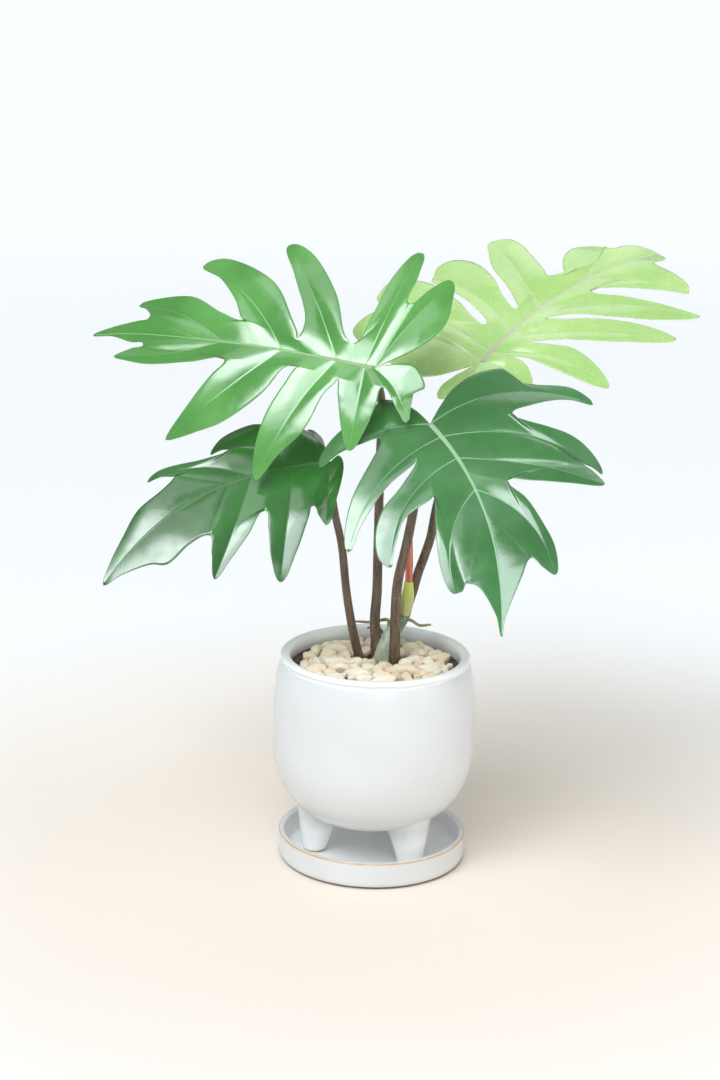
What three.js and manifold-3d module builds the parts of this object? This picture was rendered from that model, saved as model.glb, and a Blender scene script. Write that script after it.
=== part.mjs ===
// A potted philodendron mayoi: four cut leaves on long stalks, a short stem with aerial roots and
// a new leaf still rolled up, in a glazed pot on three feet that is topped with pebbles and stands
// in its saucer. Millimetres, +Z up. The origin is the middle of the saucer's underside, and the
// plant is looked at along +Y, so -Y is its front and +X its right.

import * as THREE from "three";
import { mergeVertices } from "three/addons/utils/BufferGeometryUtils.js";
import Module from "manifold-3d";

const wasm = await Module();
wasm.setup();

// Pot and saucer
const TOUCH_GAP = 0.3;
const ROUND_STEPS = 40;
const SAUCER_RADIUS = 65.5;
const SAUCER_HEIGHT = 19;
const SAUCER_WALL = 4;
const SAUCER_FLOOR = 5;
const POT_RADIUS = 70.3;
const POT_WALL = 5;
const POT_HEIGHT = 149;
const POT_BASE_RADIUS = 30.5;
const POT_BASE_LEVEL = 30.7;
const POT_BOWL_TOP = 85.5;
const POT_STRAIGHT_TOP = 106;
const POT_FLOOR = 6;
const LIP_RADIUS = 66;
const LIP_INNER_RADIUS = 58.5;
const NECK_RADIUS = 64.6;
const DRAIN_RADIUS = 7;
const ABOVE_POT = 170;
const FOOT_ANGLES = [-169, -49, 71];
const FOOT_RING_RADIUS = 41;
const FOOT_TOP_RING_RADIUS = 36;
const FOOT_RADIUS = 8.4;
const FOOT_TOP_RADIUS = 18;
const FOOT_TOP_LEVEL = 46;
const FOOT_SIDES = 16;

// Filling
const SOIL_LEVEL = 139;
const PEBBLE_BED = 1.8;
const PEBBLE_RADIUS = 54;
const PEBBLE_SHIFT = -3;
const PEBBLE_COUNT = 40;
const PEBBLE_TRIES = 150;
const PEBBLE_CROWDING = 0.72;
const GOLDEN_ANGLE = 2.39996;
const HOLE_CLEARANCE = 0.4;

// Leaves
const BLADE_THICKNESS = 1;
const STALK_REACH = 3.5;
const VALLEY_STEPS = 2;
const MARGIN_STEPS = 5;
const ACROSS_STEPS = 2;
const NEAREST_CUT = 0.12;
const FARTHEST_CUT = 0.6;
const STALK_SIDES = 9;
const ROOT_SIDES = 6;
const STALK_STEP = 12;
const FEWEST_STALK_STEPS = 6;

const COLOURS = {
  glaze: 0xf1f1ee,
  soil: 0x4b3a2c,
  pebble: 0xe4d8c2,
  stalk: 0x6b5146,
  stem: 0x8fa08c,
  sheath: 0xa3ab55,
  spear: 0xb4483f,
  leafDark: 0x2f6a3a,
  leafBlue: 0x3f7a56,
  leafMid: 0x4f9a4c,
  leafYoung: 0xa9d97c,
};

const vec = (p) => new THREE.Vector3(p[0], p[1], p[2]);
const degrees = (angle) => (angle * Math.PI) / 180;
const mix = (a, b, t) => a + (b - a) * t;
const mix2 = (a, b, t) => [mix(a[0], b[0], t), mix(a[1], b[1], t)];

// Solids

function solidFrom(geometry) {
  const plain = geometry.clone();
  plain.deleteAttribute("normal");
  plain.deleteAttribute("uv");
  const merged = mergeVertices(plain, 1e-3);
  return new wasm.Manifold(
    new wasm.Mesh({
      numProp: 3,
      vertProperties: new Float32Array(merged.attributes.position.array),
      triVerts: new Uint32Array(merged.index.array),
    }),
  );
}

function geometryFrom(solid) {
  const mesh = solid.getMesh();
  const geometry = new THREE.BufferGeometry();
  geometry.setAttribute("position", new THREE.BufferAttribute(mesh.vertProperties, 3));
  geometry.setIndex(new THREE.BufferAttribute(mesh.triVerts, 1));
  geometry.computeVertexNormals();
  return geometry;
}

function largestBody(solid) {
  return solid.decompose().reduce((a, b) => (a.volume() > b.volume() ? a : b));
}

function indexedGeometry(points, triangles) {
  const geometry = new THREE.BufferGeometry();
  geometry.setAttribute("position", new THREE.Float32BufferAttribute(points.flat(), 3));
  geometry.setIndex(triangles.flat());
  return geometry;
}

// A surface of revolution about Z from [radius, height] pairs, listed so that the outside is right.
function turned(profile, steps = ROUND_STEPS) {
  const points = profile.map(([radius, height]) => new THREE.Vector2(radius, height));
  return new THREE.LatheGeometry(points, steps).rotateX(Math.PI / 2);
}

// A round stalk along a smooth curve. The radii are spaced evenly from its start to its end, and
// `grow` makes it thicker and longer by as many mm all round.
function stalk({ route, radii }, grow = 0, sides = STALK_SIDES) {
  const curve = new THREE.CatmullRomCurve3(route.map(vec));
  const steps = Math.max(FEWEST_STALK_STEPS, Math.ceil(curve.getLength() / STALK_STEP));
  const frames = curve.computeFrenetFrames(steps);
  const centres = frames.tangents.map((_, i) => curve.getPointAt(i / steps));
  centres[0].addScaledVector(frames.tangents[0], -grow);
  centres[steps].addScaledVector(frames.tangents[steps], grow);
  const points = [];
  const triangles = [];
  for (let i = 0; i <= steps; i++) {
    const place = (i / steps) * (radii.length - 1);
    const first = Math.min(Math.floor(place), radii.length - 2);
    const radius = mix(radii[first], radii[first + 1], place - first) + grow;
    for (let k = 0; k < sides; k++) {
      const angle = (2 * Math.PI * k) / sides;
      const p = centres[i]
        .clone()
        .addScaledVector(frames.normals[i], radius * Math.cos(angle))
        .addScaledVector(frames.binormals[i], radius * Math.sin(angle));
      points.push(p.toArray());
      if (i === 0) continue;
      const a = (i - 1) * sides + k;
      const b = (i - 1) * sides + ((k + 1) % sides);
      triangles.push([a, b, b + sides], [a, b + sides, a + sides]);
    }
  }
  const start = points.length;
  points.push(centres[0].toArray(), centres[steps].toArray());
  for (let k = 0; k < sides; k++) {
    const next = (k + 1) % sides;
    triangles.push([start, next, k]);
    triangles.push([start + 1, steps * sides + k, steps * sides + next]);
  }
  return indexedGeometry(points, triangles);
}

// Saucer and pot

function saucerGeometry() {
  const inner = SAUCER_RADIUS - SAUCER_WALL;
  return turned([
    [0, 0],
    [SAUCER_RADIUS - 3, 0],
    [SAUCER_RADIUS - 1.2, 1.4],
    [SAUCER_RADIUS - 0.3, 4],
    [SAUCER_RADIUS, SAUCER_HEIGHT - 1],
    [SAUCER_RADIUS - 1, SAUCER_HEIGHT],
    [inner + 1.2, SAUCER_HEIGHT],
    [inner, SAUCER_HEIGHT - 1.2],
    [inner - 0.4, SAUCER_FLOOR + 2.5],
    [inner - 2.6, SAUCER_FLOOR],
    [0, SAUCER_FLOOR],
  ]);
}

// The bowl is a quarter ellipse from the flat base out to the straight side, `inset` mm inwards.
function bowlArc(inset, floor, steps = 7) {
  const across = POT_RADIUS - POT_BASE_RADIUS;
  const rise = POT_BOWL_TOP - floor;
  const arc = [];
  for (let i = 0; i <= steps; i++) {
    const angle = (Math.PI / 2) * (i / steps);
    arc.push([
      POT_BASE_RADIUS - inset + across * Math.sin(angle),
      POT_BOWL_TOP - rise * Math.cos(angle),
    ]);
  }
  return arc;
}

const innerFloor = POT_BASE_LEVEL + POT_FLOOR;

// The inside of the pot from its floor up to the neck, `inset` mm further in.
function insideProfile(inset) {
  return [
    ...bowlArc(POT_WALL + inset, innerFloor + inset),
    [POT_RADIUS - POT_WALL - inset, POT_STRAIGHT_TOP],
    [POT_RADIUS - POT_WALL - 1 - inset, 118],
    [LIP_INNER_RADIUS + 3 - inset, 132],
    [LIP_INNER_RADIUS - inset, SOIL_LEVEL],
  ];
}

function potGeometry() {
  const shell = solidFrom(
    turned([
      [DRAIN_RADIUS, POT_BASE_LEVEL],
      ...bowlArc(0, POT_BASE_LEVEL),
      [POT_RADIUS, POT_STRAIGHT_TOP],
      [POT_RADIUS - 0.5, 118],
      [POT_RADIUS - 2.1, 133],
      [NECK_RADIUS + 0.3, POT_HEIGHT - 5.4],
      [NECK_RADIUS, POT_HEIGHT - 4],
      [LIP_RADIUS - 0.3, POT_HEIGHT - 3],
      [LIP_RADIUS, POT_HEIGHT - 1.8],
      [LIP_RADIUS - 1.2, POT_HEIGHT - 0.4],
      [LIP_RADIUS - 3, POT_HEIGHT],
      [LIP_INNER_RADIUS + 2, POT_HEIGHT - 0.5],
      [LIP_INNER_RADIUS + 0.2, POT_HEIGHT - 2.4],
      ...insideProfile(0).reverse(),
      [DRAIN_RADIUS, innerFloor],
      [DRAIN_RADIUS, POT_BASE_LEVEL],
    ]),
  );
  const hollow = solidFrom(
    turned([
      [0, innerFloor],
      ...insideProfile(0),
      [LIP_INNER_RADIUS, ABOVE_POT],
      [0, ABOVE_POT],
    ]),
  );
  const footed = FOOT_ANGLES.reduce((pot, angle) => pot.add(foot(angle)), shell);
  return geometryFrom(footed.subtract(hollow));
}

// A foot is a short cone that widens upwards into the bowl and stands slightly outwards.
function foot(angle) {
  const bottom = SAUCER_FLOOR + TOUCH_GAP;
  const at = (level) => {
    const up = (level - bottom) / (FOOT_TOP_LEVEL - bottom);
    const ring = mix(FOOT_RING_RADIUS, FOOT_TOP_RING_RADIUS, up);
    return {
      centre: [ring * Math.cos(degrees(angle)), ring * Math.sin(degrees(angle)), level],
      radius: mix(FOOT_RADIUS, FOOT_TOP_RADIUS, up),
    };
  };
  const sides = FOOT_SIDES;
  const sections = [bottom, bottom + 1.2, FOOT_TOP_LEVEL].map(at);
  sections[0].radius -= 1;
  const points = [];
  const triangles = [];
  sections.forEach(({ centre, radius }, i) => {
    for (let k = 0; k < sides; k++) {
      const turn = (2 * Math.PI * k) / sides;
      const [x, y, z] = centre;
      points.push([x + radius * Math.cos(turn), y + radius * Math.sin(turn), z]);
      if (i === 0) continue;
      const a = (i - 1) * sides + k;
      const b = (i - 1) * sides + ((k + 1) % sides);
      triangles.push([a, b, b + sides], [a, b + sides, a + sides]);
    }
  });
  const last = sections.length - 1;
  points.push(sections[0].centre, sections[last].centre);
  const cap = points.length - 2;
  for (let k = 0; k < sides; k++) {
    const next = (k + 1) % sides;
    triangles.push([cap, next, k], [cap + 1, last * sides + k, last * sides + next]);
  }
  return solidFrom(indexedGeometry(points, triangles));
}

// Stem, sheath, new leaf and leaf stalks. Each route runs upwards, from inside the soil.
const STEM = {
  route: [
    [4, 6, 118],
    [4, 6, 134],
    [5, 5, 144],
    [7, 6, 152],
    [11, 8, 161],
    [15.5, 9, 167],
    [19, 10, 172.5],
  ],
  radii: [7.2, 7.4, 7, 6, 5, 4.7, 4.6],
};
const AERIAL_ROOTS = [
  { route: [[19, 9, 170], [24, 9, 169.5], [30, 8, 166.5], [38, 6, 167.5]], radii: [1.3, 1.1, 1, 0.7] },
  {
    route: [[9, 8, 160], [8, 10, 169], [3, 12, 168], [-4, 14, 166], [-14, 15, 166]],
    radii: [1.6, 1.3, 1.1, 1, 0.7],
  },
  { route: [[7, 7, 155], [4, 12, 160], [0, 15, 162], [-6, 17, 161]], radii: [1.4, 1.1, 0.9, 0.7] },
];
const SHEATH = {
  route: [[19.3, 10, 173.2], [20.3, 10, 178], [21.2, 10, 187], [21.6, 10, 197]],
  radii: [3.6, 4.4, 4.2, 3.1],
};
const SPEAR = {
  route: [[20.5, 10, 179], [21.6, 10, 195], [22, 10, 213], [21, 10, 245], [19.4, 10, 268]],
  radii: [2.1, 2.5, 2.4, 1.8, 0.5],
};

// Each leaf stalk carries one blade, and its route ends on that blade's underside.
const LEAF_STALKS = {
  petiole_upper_left: {
    route: [
      [1, 9, 130],
      [0, 8, 154],
      [-1, 8, 170],
      [0, 8, 190],
      [0, 6, 217],
      [0, 2, 257],
      [0, -3, 293],
      [0, -9, 328],
      [-4, -15, 346.5],
    ],
    radii: [3.9, 3.4, 3.1, 2.9, 2.7],
    blade: "blade_upper_left",
  },
  petiole_front_right: {
    route: [
      [11, 2, 126],
      [13, 0, 144],
      [13, -2, 180],
      [14, -4, 201],
      [19, -9, 228],
      [23, -14, 254],
      [27, -21, 288],
      [31.5, -31.5, 313.5],
    ],
    radii: [3.9, 3.5, 3.3, 3, 2.7],
    blade: "blade_front_right",
  },
  petiole_lower_left: {
    route: [
      [-7, 8, 124],
      [-12, 8, 144],
      [-17, 8, 166],
      [-21, 6, 190],
      [-25, 2, 225],
      [-30, -3, 249],
      [-33, -8, 272],
      [-33.5, -12.5, 282.5],
    ],
    radii: [3.4, 3, 2.8, 2.6, 2.5],
    blade: "blade_lower_left",
  },
  petiole_back_right: {
    route: [
      [20, 13.5, 171],
      [22.5, 17.5, 180],
      [25, 18.5, 188],
      [28, 18.5, 200],
      [36, 18.5, 226],
      [39.5, 19, 247],
      [49, 22, 288],
      [60, 26, 326],
      [67, 29.5, 342.5],
    ],
    radii: [3.4, 3.2, 3.1, 2.9, 2.6],
    blade: "blade_back_right",
  },
};

// Blades. A leaf is drawn flat, in mm: `along` from its junction with the stalk to its tip, and
// `across`, positive on its left. Each lobe has a vein from the midrib to the lobe's tip and two
// margins: `near` starts at the sinus on the side of the leaf's base, and `far` ends at `sinus`,
// the bottom of the cut before the next lobe. Lobes at station 0 spread from the junction itself.
// The sheet is then bent: it falls away from its own plane along and across the leaf.
const lobe = (station, tip, bow, near, far, sinus) => ({ station, tip, bow, near, far, sinus });
const LEAVES = {
  blade_upper_left: {
    junction: [-5.6, -20, 352.3],
    faces: { turn: -104, rise: 36 },
    tipDirection: [-0.96, 0.27, 0.04],
    fall: { along: 0.0005, left: 0.001, right: 0.0004 },
    tip: [211, -12],
    bow: -3,
    lastFork: 128,
    left: [
      lobe(
        0, [-28, 33], 4,
        [[-15, -4.5], [-25, -5], [-31, -1], [-36.5, 9], [-30, 12], [-29, 21]],
        [[-21, 27]],
        [-9, 14],
      ),
      lobe(6, [6, 57], 0, [[-7, 26], [-2, 44]], [[13, 46], [20, 22]], [23, 11]),
      lobe(
        26, [66, 84], -4,
        [[30, 24], [38, 48], [53, 66]],
        [[70, 66], [67, 42], [58, 19]],
        [50, 6],
      ),
      lobe(
        66, [136, 62], 0,
        [[61, 8], [72, 27], [94, 47], [115, 56]],
        [[122, 35], [111, 17]],
        [104, 5],
      ),
      lobe(110, [190, 4], 5, [[129, 8], [160, 10], [180, 7]], [[176, 0]], [167, -3]),
    ],
    leftEnd: [[178, -5], [194, -10]],
    right: [
      lobe(0, [-37, -73], -1, [[-25, -16], [-40, -36], [-41, -56]], [[-25, -63]], [-14, -49]),
      lobe(6, [-12, -92], -1, [[-15, -72]], [[2, -71], [9, -38]], [16, -15]),
      lobe(26, [82, -89], 2, [[25, -22], [38, -52], [62, -82]], [[71, -64], [55, -32]], [57, -14]),
      lobe(
        66, [141, -69], 7,
        [[64, -30], [84, -57], [121, -74]],
        [[124, -58], [108, -41]],
        [96, -25],
      ),
      lobe(110, [181, -36], 5, [[115, -30], [140, -42], [167, -41]], [[173, -31]], [168, -24]),
    ],
    rightEnd: [[178, -21], [196, -17]],
  },
  blade_front_right: {
    junction: [31.9, -35, 318.7],
    faces: { turn: -100, rise: 54 },
    tipDirection: [0.24, -0.8, -0.55],
    fall: { along: 0.001, left: 0.0008, right: 0.001 },
    tip: [159, 4],
    bow: 14,
    lastFork: 74,
    left: [
      lobe(
        0, [3, 110], 16,
        [
          [-14, 11],
          [-27, 24],
          [-36.5, 42],
          [-37, 60],
          [-30, 60],
          [-24, 63],
          [-19, 78],
          [-13, 100],
        ],
        [[-1, 97], [-2, 85], [1, 69]],
        [7, 54],
      ),
      lobe(13, [61, 99], 13, [[14, 60], [30, 86], [46, 97]], [[59, 94]], [55, 87]),
      lobe(33, [69, 98], 2, [[62, 93]], [[67, 76], [63, 52]], [60, 36]),
      lobe(60, [127, 48], 10, [[75, 44], [90, 49], [110, 53]], [[123, 41]], [117, 35]),
    ],
    leftEnd: [[128, 26], [148, 10]],
    right: [
      lobe(
        0, [5, -77], 7,
        [[-17, -8], [-31, -25], [-21, -37], [-17, -57], [-6, -72]],
        [[1, -61], [1, -46]],
        [4, -34],
      ),
      lobe(13, [76, -74], 11, [[16, -42], [40, -62], [62, -73]], [[61, -61], [41, -39]], [27, -16]),
      lobe(
        33, [96, -51], 12,
        [[44, -30], [57, -46], [72, -55], [88, -57]],
        [[86.5, -46], [68, -34]],
        [58, -13],
      ),
      lobe(60, [125, -16], 9, [[76, -16], [96, -20], [115, -21]], [[127, -12]], [124, -8]),
    ],
    rightEnd: [[129, -1], [146, 4]],
  },
  blade_lower_left: {
    junction: [-33.6, -15, 286.8],
    faces: { turn: -86, rise: 49 },
    tipDirection: [-0.82, -0.46, -0.35],
    fall: { along: 0.0006, left: 0.0016, right: 0.0014 },
    tip: [170, -10],
    bow: -20,
    lastFork: 66,
    left: [
      lobe(0, [26, 35], 0, [[-8, -1], [-5, 9], [10, 24]], [[28.5, 30]], [29, 24]),
      lobe(22, [74, 54], 0, [[36, 29], [55, 44]], [[72, 40], [63, 22]], [58, 10]),
      lobe(50, [109, 29], 2, [[76, 18], [94, 25]], [[103, 16]], [98, 5]),
    ],
    leftEnd: [[112, 3], [130, 6], [140, -2], [157, -8]],
    right: [
      lobe(0, [-6, -36], 0, [[-3, -9], [-8, -23]], [[6, -45]], [14, -48]),
      lobe(22, [59, -56], 9, [[26, -56], [38, -60], [49, -61]], [[54, -51]], [49, -46]),
      lobe(50, [105, -62], 6, [[54, -45], [70, -51], [84, -59], [96, -64]], [[98, -56]], [91, -49]),
    ],
    rightEnd: [[105, -44], [125, -41], [144, -30], [158, -21]],
  },
  blade_back_right: {
    junction: [68, 30, 348.2],
    faces: { turn: -92, rise: 58 },
    tipDirection: [0.75, 0.55, 0.36],
    fall: { along: 0.0004, left: 0.0006, right: 0.0006 },
    tip: [188, 14],
    bow: 11,
    lastFork: 134,
    left: [
      lobe(
        0, [-40, 89], -10,
        [[-13, 2.5], [-25, 6], [-35, 10], [-42, 17], [-46, 34], [-47, 64]],
        [[-19, 90]],
        [-11, 67],
      ),
      lobe(10, [-3, 106], -5, [[-13, 84]], [[13, 110], [29, 92], [30, 60], [25, 38]], [26, 25]),
      lobe(
        35, [38, 94], -8,
        [[33, 38], [37, 58], [36.5, 78]],
        [[50, 101.5], [64, 98.5], [71, 84], [67, 62], [56, 38]],
        [54, 23],
      ),
      lobe(
        70, [103, 100.5], 0,
        [[59, 30], [67, 47], [75, 69], [87, 87]],
        [[112.5, 93], [112, 79], [106.5, 62], [101, 46]],
        [98.5, 36],
      ),
      lobe(
        116, [160.5, 45], -2,
        [[107, 31], [113, 38], [122, 47], [136, 53.7], [150, 51.3]],
        [[160, 41]],
        [158, 38],
      ),
    ],
    leftEnd: [[163, 34.5], [171, 33.5], [182, 27]],
    right: [
      lobe(0, [-43, -4], 0, [[-11, 1], [-23, 2.4], [-36, 2]], [[-36, -10], [-24, -13]], [-13, -10]),
      lobe(0, [12, -36], -3, [[-10, -21], [0, -34]], [[19, -28], [21, -18]], [17.5, -8]),
      lobe(10, [54, -69], -11, [[27, -20], [35, -40], [45, -60]], [[60, -52], [57, -28]], [36, -3]),
      lobe(
        35, [128, -61], 0,
        [[60, -20], [86, -40], [113, -58]],
        [[118, -42], [98, -22], [76, -7]],
        [60, 2],
      ),
      lobe(
        70, [160, -53.5], -5,
        [[80, -4], [101, -21], [122, -37], [143, -48]],
        [[146, -33], [128, -13]],
        [109, 6],
      ),
      lobe(
        116, [172, -31], -6,
        [[127, 0], [148, -13], [163, -24]],
        [[177.5, -24], [176, -12]],
        [172, 4],
      ),
    ],
    rightEnd: [[179, 3.5], [186, 6]],
  },
};
const LOBE_RISE = 3;
const LOBE_DROOP = 3;
const DROOP_START = 0.35;
const RISE_POWER = 1.3;
const STEEPEST_FOLD = 0.35;

// A point of the midrib in the flat leaf: a straight line to the tip, bowed sideways.
function midribAt(leaf, along) {
  const share = along / leaf.tip[0];
  return [along, leaf.tip[1] * share + 4 * leaf.bow * share * (1 - share)];
}

// A point of a lobe's vein: a straight line from root to tip, bowed towards the leaf's base.
function veinAt(root, tip, bow, share) {
  const [du, dv] = [tip[0] - root[0], tip[1] - root[1]];
  const length = Math.hypot(du, dv);
  const side = dv > 0 ? -1 : 1;
  const bulge = 4 * bow * share * (1 - share);
  return [
    root[0] + du * share + (side * bulge * dv) / length,
    root[1] + dv * share - (side * bulge * du) / length,
  ];
}

// The steps along a lobe's vein: evenly up to the cuts beside it, and evenly on to its tip. Both
// halves of a lobe share them.
function veinShares(vein, sinuses) {
  const chord = [vein(1)[0] - vein(0)[0], vein(1)[1] - vein(0)[1]];
  const reaches = sinuses.map(
    ([u, v]) =>
      ((u - vein(0)[0]) * chord[0] + (v - vein(0)[1]) * chord[1]) /
      (chord[0] ** 2 + chord[1] ** 2),
  );
  const mean = reaches.reduce((sum, reach) => sum + reach, 0) / reaches.length;
  const split = THREE.MathUtils.clamp(mean, NEAREST_CUT, FARTHEST_CUT);
  const shares = [];
  for (let i = 0; i < VALLEY_STEPS; i++) shares.push((split * i) / VALLEY_STEPS);
  for (let i = 0; i <= MARGIN_STEPS; i++) shares.push(mix(split, 1, i / MARGIN_STEPS));
  return shares;
}

// One half of a lobe as rows of points from its vein to its edge. The edge follows the valley
// between two lobes out to the sinus, and then the free margin to the tip. The first lobe has no
// valley on its outer side: there the margin starts at the junction. The edge stands higher than
// the vein, and less so along a free margin that runs close beside it.
function halfLobe({ vein, shares, valley, margin }) {
  const sinus = margin[0];
  const free = new THREE.SplineCurve(margin.map(([u, v]) => new THREE.Vector2(u, v)));
  const valleySteps = valley ? VALLEY_STEPS : 0;
  const last = shares.length - 1;
  return shares.map((share, i) => {
    const onMargin = Math.max(0, i - valleySteps) / (last - valleySteps);
    const onValley = valley ? Math.min(1, i / VALLEY_STEPS) : Math.min(1, 3 * onMargin);
    const inValley = i < valleySteps;
    const edge = inValley ? mix2(valley, sinus, onValley) : free.getPointAt(onMargin).toArray();
    const start = vein(share);
    const width = Math.hypot(edge[0] - start[0], edge[1] - start[1]);
    const narrowed = Math.min(LOBE_RISE, STEEPEST_FOLD * width);
    const rise = mix(LOBE_RISE, narrowed, Math.min(1, 3 * onMargin));
    const edgeRise = rise * onValley * (1 - onMargin ** 2);
    const veinDroop = LOBE_DROOP * Math.max(0, (share - DROOP_START) / (1 - DROOP_START)) ** 2;
    const edgeDroop = LOBE_DROOP * onMargin ** 2;
    const row = [];
    for (let k = 0; k <= ACROSS_STEPS; k++) {
      const t = k / ACROSS_STEPS;
      const lift = edgeRise * t ** RISE_POWER - mix(veinDroop, edgeDroop, t);
      row.push({ flat: mix2(start, edge, t), lift });
    }
    return row;
  });
}

// All half lobes of one side of a leaf, and the half of its end on that side.
function sidePatches(leaf, lobes, end) {
  const patches = [];
  const forkAfter = (i) => {
    const here = lobes[i].station;
    const next = i + 1 < lobes.length ? lobes[i + 1].station : 2 * leaf.lastFork - here;
    return midribAt(leaf, (here + next) / 2);
  };
  lobes.forEach(({ station, tip, bow, near, far, sinus }, i) => {
    const root = midribAt(leaf, station);
    const vein = (share) => veinAt(root, tip, bow, share);
    const before = i > 0 ? lobes[i - 1].sinus : [0, 0];
    const shares = veinShares(vein, i > 0 ? [before, sinus] : [sinus]);
    patches.push(
      halfLobe({
        vein,
        shares,
        valley: i > 0 ? forkAfter(i - 1) : null,
        margin: [before, ...near, tip],
      }),
      halfLobe({ vein, shares, valley: forkAfter(i), margin: [tip, ...far, sinus].reverse() }),
    );
  });
  const vein = (share) => midribAt(leaf, mix(leaf.lastFork, leaf.tip[0], share));
  const shares = veinShares(vein, [leaf.left.at(-1).sinus, leaf.right.at(-1).sinus]);
  const margin = [lobes.at(-1).sinus, ...end, leaf.tip];
  patches.push(halfLobe({ vein, shares, valley: midribAt(leaf, leaf.lastFork), margin }));
  return patches;
}

// The leaf's own directions: along its midrib, across to its left, and out of its upper face.
function leafAxes(leaf) {
  const turn = degrees(leaf.faces.turn);
  const rise = degrees(leaf.faces.rise);
  const out = new THREE.Vector3(
    Math.cos(rise) * Math.cos(turn),
    Math.cos(rise) * Math.sin(turn),
    Math.sin(rise),
  );
  const along = vec(leaf.tipDirection).projectOnPlane(out).normalize();
  return { along, across: new THREE.Vector3().crossVectors(out, along), out };
}

// A leaf stalk carried on to its blade's base, `grow` mm thicker, and cut off along the underside.
function stalkSolid({ route, radii, blade }, grow) {
  const leaf = LEAVES[blade];
  const { along, out } = leafAxes(leaf);
  const end = vec(leaf.junction).addScaledVector(along, STALK_REACH);
  const whole = stalk({ route: [...route, end.toArray()], radii }, grow);
  const underside = out.dot(vec(leaf.junction)) - BLADE_THICKNESS - HOLE_CLEARANCE;
  return solidFrom(whole).trimByPlane(out.negate().toArray(), -underside);
}

// The blade as a sheet with an even thickness.
function bladeGeometry(leaf) {
  const { along, across, out } = leafAxes(leaf);
  const found = new Map();
  const upper = [];
  const lower = [];
  const place = ({ flat: [u, v], lift }) => {
    const key = `${u.toFixed(3)} ${v.toFixed(3)}`;
    if (!found.has(key)) {
      const fall = leaf.fall.along * u * u + (v > 0 ? leaf.fall.left : leaf.fall.right) * v * v;
      const p = vec(leaf.junction).addScaledVector(along, u).addScaledVector(across, v);
      found.set(key, upper.length);
      const height = lift - fall;
      upper.push(p.clone().addScaledVector(out, height).toArray());
      lower.push(p.clone().addScaledVector(out, height - BLADE_THICKNESS).toArray());
    }
    return found.get(key);
  };
  const faces = [];
  const patches = [
    ...sidePatches(leaf, leaf.left, leaf.leftEnd),
    ...sidePatches(leaf, leaf.right, leaf.rightEnd),
  ];
  for (const rows of patches) {
    const patchFaces = [];
    let area = 0;
    for (let i = 0; i + 1 < rows.length; i++) {
      for (let k = 0; k < ACROSS_STEPS; k++) {
        const corners = [rows[i][k], rows[i + 1][k], rows[i + 1][k + 1], rows[i][k + 1]];
        for (const pick of [[0, 1, 2], [0, 2, 3]]) {
          const [a, b, c] = pick.map((n) => corners[n]);
          const ids = [a, b, c].map(place);
          if (new Set(ids).size < 3) continue;
          area +=
            (b.flat[0] - a.flat[0]) * (c.flat[1] - a.flat[1]) -
            (b.flat[1] - a.flat[1]) * (c.flat[0] - a.flat[0]);
          patchFaces.push(ids);
        }
      }
    }
    faces.push(...(area > 0 ? patchFaces : patchFaces.map(([a, b, c]) => [a, c, b])));
  }
  const count = upper.length;
  const edges = new Set(faces.flatMap(([a, b, c]) => [`${a} ${b}`, `${b} ${c}`, `${c} ${a}`]));
  const walls = [...edges]
    .map((edge) => edge.split(" ").map(Number))
    .filter(([a, b]) => !edges.has(`${b} ${a}`))
    .flatMap(([a, b]) => [
      [b, a, a + count],
      [b, a + count, b + count],
    ]);
  const under = faces.map(([a, b, c]) => [a + count, c + count, b + count]);
  return indexedGeometry([...upper, ...lower], [...faces, ...under, ...walls]);
}

// Pebbles. Large ones are placed by hand as [x, y, half length, half width, half height, turn].
const LARGE_PEBBLES = [
  [44, 6, 9, 7.5, 5, 20],
  [20, -22, 14, 8, 5.4, 8],
  [-30, -2, 12, 8, 5, -12],
  [6, -43, 11, 7.5, 5, 5],
  [-12, -28, 9.5, 7.5, 4.8, -15],
  [38, -13, 9, 7, 4.6, 30],
  [30, 16, 7, 5.5, 4.4, -10],
  [-27, 22, 8, 6, 4.6, 10],
  [-26, -40, 8.5, 6.5, 4.4, -25],
  [-46, 6, 7, 6, 4.2, 30],
  [36, -36, 8.5, 6.5, 4.4, 40],
  [-41, -22, 8, 6.5, 4.4, -40],
];
// Round places kept free for what grows there, as [x, y, radius].
const STALK_FEET = [[5, 5, 8], [0, 8, 4], [13, 0, 4.5], [-12, 8, 4], [18, 9, 4]];

// A repeatable draw between 0 and 1 for a number and a purpose.
function draw(index, purpose) {
  const wave = Math.sin(index * 12.9898 + purpose * 78.233) * 43758.5453;
  return wave - Math.floor(wave);
}

// Smaller pebbles follow a sunflower spiral and keep off the large ones and the stalks.
function pebblePlaces() {
  const places = [...LARGE_PEBBLES];
  for (let i = 0; i < PEBBLE_TRIES && places.length < PEBBLE_COUNT; i++) {
    const half = mix(4.2, 7, draw(i, 2));
    const ring = (PEBBLE_RADIUS - 0.8 * half) * Math.sqrt((i + 0.5) / PEBBLE_TRIES);
    const angle = i * GOLDEN_ANGLE + 0.3 * draw(i, 1);
    const [x, y] = [ring * Math.cos(angle), PEBBLE_SHIFT + ring * Math.sin(angle)];
    const clear = places.every(
      ([px, py, a, b]) => Math.hypot(px - x, py - y) > PEBBLE_CROWDING * (half + (a + b) / 2),
    );
    const free = STALK_FEET.every(([sx, sy, r]) => Math.hypot(sx - x, sy - y) > half + r);
    const width = half * mix(0.7, 0.9, draw(i, 3));
    if (clear && free) places.push([x, y, half, width, half * 0.72, 360 * draw(i, 4)]);
  }
  return places;
}

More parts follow.
